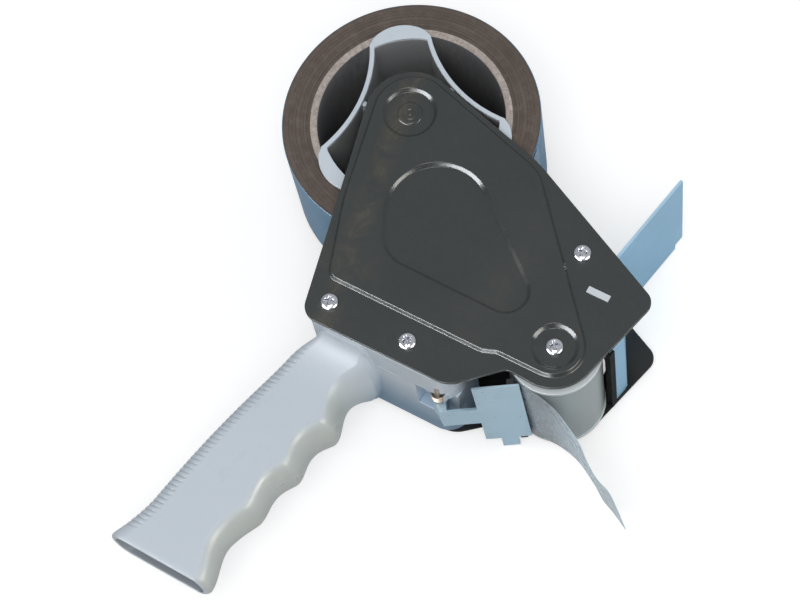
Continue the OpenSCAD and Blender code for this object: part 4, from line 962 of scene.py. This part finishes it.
build_spool()
build_disc()
build_core()
build_roll()

# Axle

RIVET_RINGS = ((0.0, 0.5), (0.7, 0.45), (1.0, 0.15), (1.6, 0.12), (2.0, 0.62), (2.5, 0.62), (2.9, 0.25), (3.6, 0.2),
               (4.1, 0.55), (4.6, 0.55), (5.1, 0.05), (5.4, -0.2))
SHOULDER_R, SHOULDER_T = AXLE_R * 1.9, 1.2
THREADS, THREAD_PITCH, THREAD_DEPTH, THREAD_FROM, THREAD_TO = 14, 0.9, 0.32, 0.8, 14
STUD_CHAMFER, SHOULDER_EDGE, STUD_OVER = 0.5, 0.2, 0.1


def build_axle():
    lathe(Shape(), [(r, RIM_TOP + h) for r, h in RIVET_RINGS[::-1]]).piece(
        "axle_rivet", "frame", [PAINT], (), "dark_paint", sharp=60)
    low, shoulder, top = -MID_Z, PLATE_Z - SHOULDER_T, RIM_TOP + STUD_OVER
    profile = [(0.0, low), (AXLE_R - STUD_CHAMFER, low), (AXLE_R, low + STUD_CHAMFER)]
    for k in range(THREADS):
        z = low + THREAD_FROM + k * THREAD_PITCH
        profile += [(AXLE_R, z), (AXLE_R - THREAD_DEPTH, z + THREAD_PITCH / 2)]
    profile += [(AXLE_R, low + THREAD_TO), (AXLE_R, shoulder), (SHOULDER_R - SHOULDER_EDGE, shoulder),
                (SHOULDER_R, shoulder + SHOULDER_EDGE), (SHOULDER_R, PLATE_Z), (AXLE_R, PLATE_Z), (AXLE_R, top),
                (0.0, top)]
    lathe(Shape(), profile).piece("axle_stud", "frame", [STEEL], ["hub_axle"], "bright_steel")


build_axle()

# Brake

KNOB_R, KNOB_H, KNOB_BITES, BITE_STEP = 13.5, 8.0, 8, 12
BITE_R = KNOB_R * 0.24
BRAKE_PAD_T, BRAKE_WASHER_T, BRAKE_WIRE, BRAKE_COIL_R, BRAKE_TURNS = 1.5, 1.2, 1.4, 7.6, 4


def build_brake():
    outline = circle((0, 0), KNOB_R, 160)
    for k in range(KNOB_BITES):
        outline = bite(outline, spot((0, 0), KNOB_R + BITE_R * 0.5, tau * k / KNOB_BITES), BITE_R, BITE_STEP)
    low, high = -MID_Z + KNOB_H, POCKET_Z - FACE_GAP - BRAKE_PAD_T - BRAKE_WASHER_T
    prism(Shape(), outline, -MID_Z, low, edge=0.9, holes=[circle((0, 0), BORE_R, 48)], hole_edge=0.5).piece(
        "knob_moulded", "knob", [KNOB], ["brake_knob"], "dark_moulding")
    pitch = (high - low - BRAKE_WIRE) / BRAKE_TURNS
    coil = helix((0, 0), BRAKE_COIL_R, low + BRAKE_WIRE / 2, pitch, BRAKE_TURNS, BRAKE_WIRE)
    tube(Shape(), coil, BRAKE_WIRE / 2).piece("brake_coil", "knob", [STEEL], ["brake_spring"], "bright_steel")


build_brake()

# Roller

SLEEVE_R, ROLLER_CORE_R, ROLLER_RIM_R, ROLLER_RIM_W, ROLLER_WEB_HALF = 17.9, 15.4, 18.4, 1.7, 1.25
BEARING_WALL, ROLLER_WALL = 2.5, 5
SLEEVE_Z = TAPE_Z + FACE_GAP


def build_roller():
    top, web, tyre_z = SLEEVE_Z + ROLLER_RIM_W, ROLLER_WEB_HALF, SLEEVE_Z - SEAM
    bearing_r, wall_r = AXLE_R + BEARING_WALL, ROLLER_CORE_R - ROLLER_WALL
    half = [(BORE_R, top), (bearing_r, top), (bearing_r, web), (wall_r, web), (wall_r, top), (ROLLER_RIM_R, top),
            (ROLLER_RIM_R, SLEEVE_Z), (ROLLER_CORE_R, SLEEVE_Z)]
    lathe(Shape(), rounded(mirrored(half), r=0.35), ROLLER_AT, 96, closed=True).piece(
        "roller_body", "roller", [WHITE], ["roller_core"], "white_moulding")
    half = [(ROLLER_CORE_R, tyre_z), (SLEEVE_R, tyre_z)]
    lathe(Shape(), rounded(mirrored(half), r=0.2), ROLLER_AT, 120, closed=True).piece(
        "roller_tyre", "roller", [SLEEVE], ["roller_sleeve"], "roller_sleeve")


build_roller()

# Loose tape

FILM_T, FILM_HALF_SHOWN, TAIL_LEN, PEEL_LAG, PEEL_AT = 0.4, 0.12, 59.0, radians(15), radians(257)
TAIL_X = (0.1, 0.2, 0.287, 0.372, 0.459, 0.559, 0.649, 0.709, 0.769, 0.839, 0.929)
TAIL_Y = (-0.014, -0.03, -0.06, -0.095, -0.136, -0.191, -0.241, -0.272, -0.311, -0.356, -0.418)
LEAN_X = (0.08, 0.17, 0.242, 0.312, 0.284, 0.274, 0.224, 0.214, 0.214, 0.224, 0.249)
LEAN_Y = (-0.01, -0.06, -0.124, -0.191, -0.245, -0.28, -0.25, -0.225, -0.22, -0.255, -0.307)
STRIP_COLS, WOUND_STEPS, SPAN_STEPS, WRAP_STEPS, TAIL_STEPS, CUT_TOOTH = 40, 6, 6, 24, 6, 1.1


def smooth_rows(rows, steps):
    """Catmull-Rom through rows of numbers."""
    out, last = [], len(rows) - 1
    for i in range(last):
        near = rows[max(i - 1, 0)], rows[i], rows[i + 1], rows[min(i + 2, last)]
        for k in range(steps):
            t = k / steps
            out.append([0.5 * (2 * b + (c - a) * t + (2 * a - 5 * b + 4 * c - d) * t ** 2
                               + (3 * b - a - 3 * c + d) * t ** 3) for a, b, c, d in zip(*near)])
    return out + [list(rows[-1])]


def strip_rows():
    """Middle line of the tape from the roll over the roller to its end: x, y and the lean of its width."""
    roll_r, roller_r = ROLL_R + FACE_GAP + FILM_T / 2, SLEEVE_R + FACE_GAP + FILM_T / 2
    leave = atan2(ROLLER_AT.y, ROLLER_AT.x) + acos((roll_r + roller_r) / ROLLER_AT.length) - PEEL_LAG
    start = ray(roll_r, leave)
    away = start - ROLLER_AT
    meet = (atan2(away.y, away.x) + acos(roller_r / away.length)) % tau
    touch = ROLLER_AT + ray(roller_r, meet)
    rows = [(*spot((0, 0), roll_r, leave + PEEL_LAG / 2 * k / WOUND_STEPS), 0, 0) for k in range(WOUND_STEPS, -1, -1)]
    rows += [(*start.lerp(touch, k / SPAN_STEPS), 0, 0) for k in range(1, SPAN_STEPS)]
    rows += [(*spot(ROLLER_AT, roller_r, meet + (PEEL_AT - meet) * k / WRAP_STEPS), 0, 0)
             for k in range(WRAP_STEPS + 1)]
    off = ROLLER_AT + ray(roller_r, PEEL_AT)
    tail = [(off.x, off.y, 0, 0)] + [(off.x + TAIL_LEN * x, off.y + TAIL_LEN * y, lx, ly)
                                     for x, y, lx, ly in zip(TAIL_X, TAIL_Y, LEAN_X, LEAN_Y)]
    return rows + smooth_rows(tail, TAIL_STEPS)[1:]


def build_strip():
    rows = strip_rows()
    verts, last = [], len(rows) - 1
    for i, (x, y, lx, ly) in enumerate(rows):
        a, b = rows[max(i - 1, 0)], rows[min(i + 1, last)]
        along = Vector((b[0] - a[0], b[1] - a[1], 0)).normalized()
        across = Vector((lx, ly, sqrt(1 - lx * lx - ly * ly)))
        out = along.cross(across).normalized() * FILM_HALF_SHOWN
        tooth = CUT_TOOTH if i == last else 0.0
        front = [Vector((x, y, 0)) + across * TAPE_Z * (1 - 2 * k / STRIP_COLS) + along * (-tooth * (k % 2))
                 for k in range(STRIP_COLS + 1)]
        verts += [p + out for p in front] + [p - out for p in front[::-1]]
    sides = 2 * STRIP_COLS + 2
    faces = []
    for k in range(last):
        faces += [q[::-1] for q in stitch(k * sides, (k + 1) * sides, sides)]
    for base, way in ((0, -1), (last * sides, 1)):
        faces += [(base + k, base + k + 1, base + sides - 2 - k, base + sides - 1 - k)[::way]
                  for k in range(STRIP_COLS)]
    Shape().add(verts, faces).piece("tape_free", "frame", [TAIL], ["tape_strip"], "loose_tape", sharp=50)


build_strip()

# Retainer spring and screws

COIL_WIRE, COIL_TURNS, COIL_GAP = 0.8, 3, 0.45 * SHEET_T
SCREW_TURNS = (20, 55, 10, 40)
PAN_EDGE, PAN_WALL, PAN_TIP, PAN_RINGS, PAN_SIDES, CROSS_FROM = 0.15, 0.75, 0.02, 26, 72, 0.05
CROSS_HALF, CROSS_LEN, CROSS_DEPTH, CROSS_SLOPE, CROSS_END, DOME_POWER = 0.6, 2.0, 1.15, 0.22, 0.7, 0.8


def build_retainer_spring():
    coil = helix(HINGE_AT, PIN_R + COIL_WIRE + FACE_GAP, SLOT_HALF + COIL_WIRE / 2, COIL_WIRE + COIL_GAP,
                 COIL_TURNS, COIL_WIRE, start=radians(60), per_turn=36)
    tube(Shape(), coil, COIL_WIRE / 2).piece(
        "retainer_coil", "frame", [SPRING], ["retainer_spring"], "bright_steel")


def cross_share(u, v):
    """1 in an arm of the cross recess along u, 0 outside, with sloping walls between."""
    across, along = (CROSS_HALF - abs(v)) / CROSS_SLOPE, (CROSS_LEN - abs(u)) / CROSS_END
    return min(1.0, max(0.0, across)) * min(1.0, max(0.0, along))


def screw(shape, place, turn):
    """Pan-head screw with a domed top and a cross recess with tapered walls."""
    wall_top, c, s = RIM_TOP + PAN_WALL, cos(turn), sin(turn)
    rows = [(SHANK_R, RIM_TOP - SHANK_LEN), (SHANK_R, RIM_TOP), (HEAD_R - PAN_EDGE, RIM_TOP),
            (HEAD_R, RIM_TOP + PAN_EDGE), (HEAD_R, wall_top)]
    for k in range(1, PAN_RINGS):
        a = k / PAN_RINGS * pi / 2
        rows.append((HEAD_R * cos(a) ** DOME_POWER, wall_top + (HEAD_H - PAN_WALL) * sin(a)))
    rows.append((PAN_TIP, RIM_TOP + HEAD_H))
    verts = []
    for r, z in rows:
        for k in range(PAN_SIDES):
            a = tau * k / PAN_SIDES
            x, y = r * cos(a), r * sin(a)
            depth = max(cross_share(x, y), cross_share(y, x)) if z > wall_top + CROSS_FROM else 0.0
            verts.append((place.x + x * c - y * s, place.y + x * s + y * c, z - CROSS_DEPTH * depth))
    shape.add(verts, loft(len(rows), PAN_SIDES))


def build_screws():
    near, far = Shape(), Shape()
    for place, turn in zip(SCREW_SPOTS, SCREW_TURNS):
        screw(near, place, radians(turn))
        screw(far, place, radians(turn))
    near.piece("screws_near", "frame", [SCREW], ["near_screws"], "bright_steel", sharp=28)
    far.flip().piece("screws_far", "frame", [SCREW], ["far_screws"], "bright_steel", sharp=28)


build_retainer_spring()
build_screws()

# CAD pieces that keep their shape, with their look and the width of their bevels

KEPT = {"front_plate": (FLAP, 0.25), "blade_mount": (PAINT_MOUNT, 0.15), "blade": (FLAP, 0.08),
        "mount_rivets": (STEEL, 0.15), "retainer_plate": (PLATED, 0.2), "retainer_pad": (RUBBER, 0.25),
        "retainer_pin": (SPRING, 0.2), "hub_washer": (STEEL, 0.1), "brake_pad": (FELT, 0.2),
        "brake_washer": (STEEL, 0.15), "roller_axle": (STEEL, 0.2), "front_spacer": (STEEL, 0.2)}
BEVEL_SEGMENTS, BEVEL_ANGLE = 3, radians(40)
for node, (look, width) in KEPT.items():
    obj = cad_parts[node]
    obj.data.materials.clear()
    obj.data.materials.append(look)
    bevel = obj.modifiers.new("edge", "BEVEL")
    bevel.width = width * MM
    bevel.segments = BEVEL_SEGMENTS
    bevel.limit_method = "ANGLE"
    bevel.angle_limit = BEVEL_ANGLE
    bevel.harden_normals = False
    obj.modifiers.new("weights", "WEIGHTED_NORMAL").keep_sharp = True

# Floor, light and camera

FLOOR_HALF, FLOOR_AT, FLOOR_GLOW = 3.0, (0.05, -0.05, 0), 0.54
WORLD_LEAN, WORLD_RANGE, WORLD_LIGHT = 0.6, (-0.5, 1.1), (0.2, 0.7)
LAMP_TARGET = Vector((0.03, -0.04, 0.03))
CAMERA_LENS, CAMERA_SENSOR = 112.5, 36
CAMERA_AT = Vector((0.299269, -0.357424, 0.949315))
CAMERA_AXES = ((0.86528573, 0.49155071, -0.09827768), (-0.42152406, 0.81959891, 0.38804006),
               (0.27128964, -0.29433912, 0.9163877))


def floor_look():
    """Pale matt floor. The camera alone sees a glow on it, which keeps the background white and the shadow soft."""
    look = Look("floor", (0.62, 0.615, 0.61), 0.9, specular_ior_level=0.0)
    seen = look.node("LightPath").outputs["Is Camera Ray"]
    glow = look.node("Emission", {"Color": (1, 1, 1, 1), "Strength": look.times(seen, FLOOR_GLOW)}).outputs["Emission"]
    both = look.node("AddShader", {0: look.shader.outputs["BSDF"], 1: glow}).outputs["Shader"]
    out = next(n for n in look.tree.nodes if n.type == "OUTPUT_MATERIAL")
    look.tree.links.new(both, out.inputs["Surface"])
    return look.mat


def build_floor():
    mesh = bpy.data.meshes.new("floor")
    h = FLOOR_HALF
    mesh.from_pydata([(-h, -h, 0), (h, -h, 0), (h, h, 0), (-h, h, 0)], [], [(0, 1, 2, 3)])
    mesh.materials.append(floor_look())
    obj = bpy.data.objects.new("floor", mesh)
    obj.location = FLOOR_AT
    bpy.context.scene.collection.objects.link(obj)


def build_world():
    """A studio that is brighter above and behind the object."""
    world = bpy.data.worlds.new("studio")
    bpy.context.scene.world = world
    world.use_nodes = True
    tree = world.node_tree
    way = add_node(tree, "SeparateXYZ", {"Vector": add_node(tree, "TexCoord", {}).outputs["Generated"]}).outputs
    lean = add_node(tree, "Math", {0: way["Y"], 1: WORLD_LEAN, 2: way["Z"]}, operation="MULTIPLY_ADD")
    light = add_node(tree, "MapRange", {"Value": lean.outputs["Value"], "From Min": WORLD_RANGE[0],
                                        "From Max": WORLD_RANGE[1], "To Min": WORLD_LIGHT[0],
                                        "To Max": WORLD_LIGHT[1]})
    backdrop = tree.nodes["Background"]
    backdrop.inputs["Color"].default_value = (0.95, 0.98, 1.0, 1.0)
    tree.links.new(light.outputs["Result"], backdrop.inputs["Strength"])


def lamp(name, direction, distance, size, size_y, radiance, colour=(1, 1, 1), gloss_only=False):
    """Area lamp of a given radiance that faces the object from a direction. Gloss alone shows only in reflections."""
    data = bpy.data.lights.new(name, "AREA")
    data.shape = "RECTANGLE"
    data.size, data.size_y = size, size_y
    data.energy = radiance * pi * size * size_y
    data.color = colour
    obj = bpy.data.objects.new(name, data)
    d = Vector(direction).normalized()
    obj.location = LAMP_TARGET + d * distance
    obj.rotation_euler = d.to_track_quat("Z", "Y").to_euler()
    obj.visible_diffuse = not gloss_only
    bpy.context.scene.collection.objects.link(obj)


build_floor()
build_world()
lamp("over", (0.2, -0.4, 0.9), 1.4, 0.7, 0.7, 4.6)
lamp("right_low", (0.95, -0.35, 0.45), 1.2, 0.6, 0.22, 3.0, (1.0, 0.96, 0.88))
lamp("gloss_front", (-0.27, -0.88, 0.4), 1.25, 1.7, 0.42, 25.0, (0.93, 0.96, 1.0), True)
lamp("gloss_right", (0.93, -0.05, 0.4), 1.25, 0.8, 0.35, 14.0, (1.0, 0.98, 0.92), True)

camera = bpy.data.objects.new("camera", bpy.data.cameras.new("camera"))
camera.data.lens = CAMERA_LENS
camera.data.sensor_width = CAMERA_SENSOR
camera.matrix_world = Matrix([(*axis, place) for axis, place in zip(zip(*CAMERA_AXES), CAMERA_AT)] + [(0, 0, 0, 1)])
bpy.context.scene.collection.objects.link(camera)
bpy.context.scene.camera = camera
bpy.context.scene.view_settings.view_transform = "Standard"
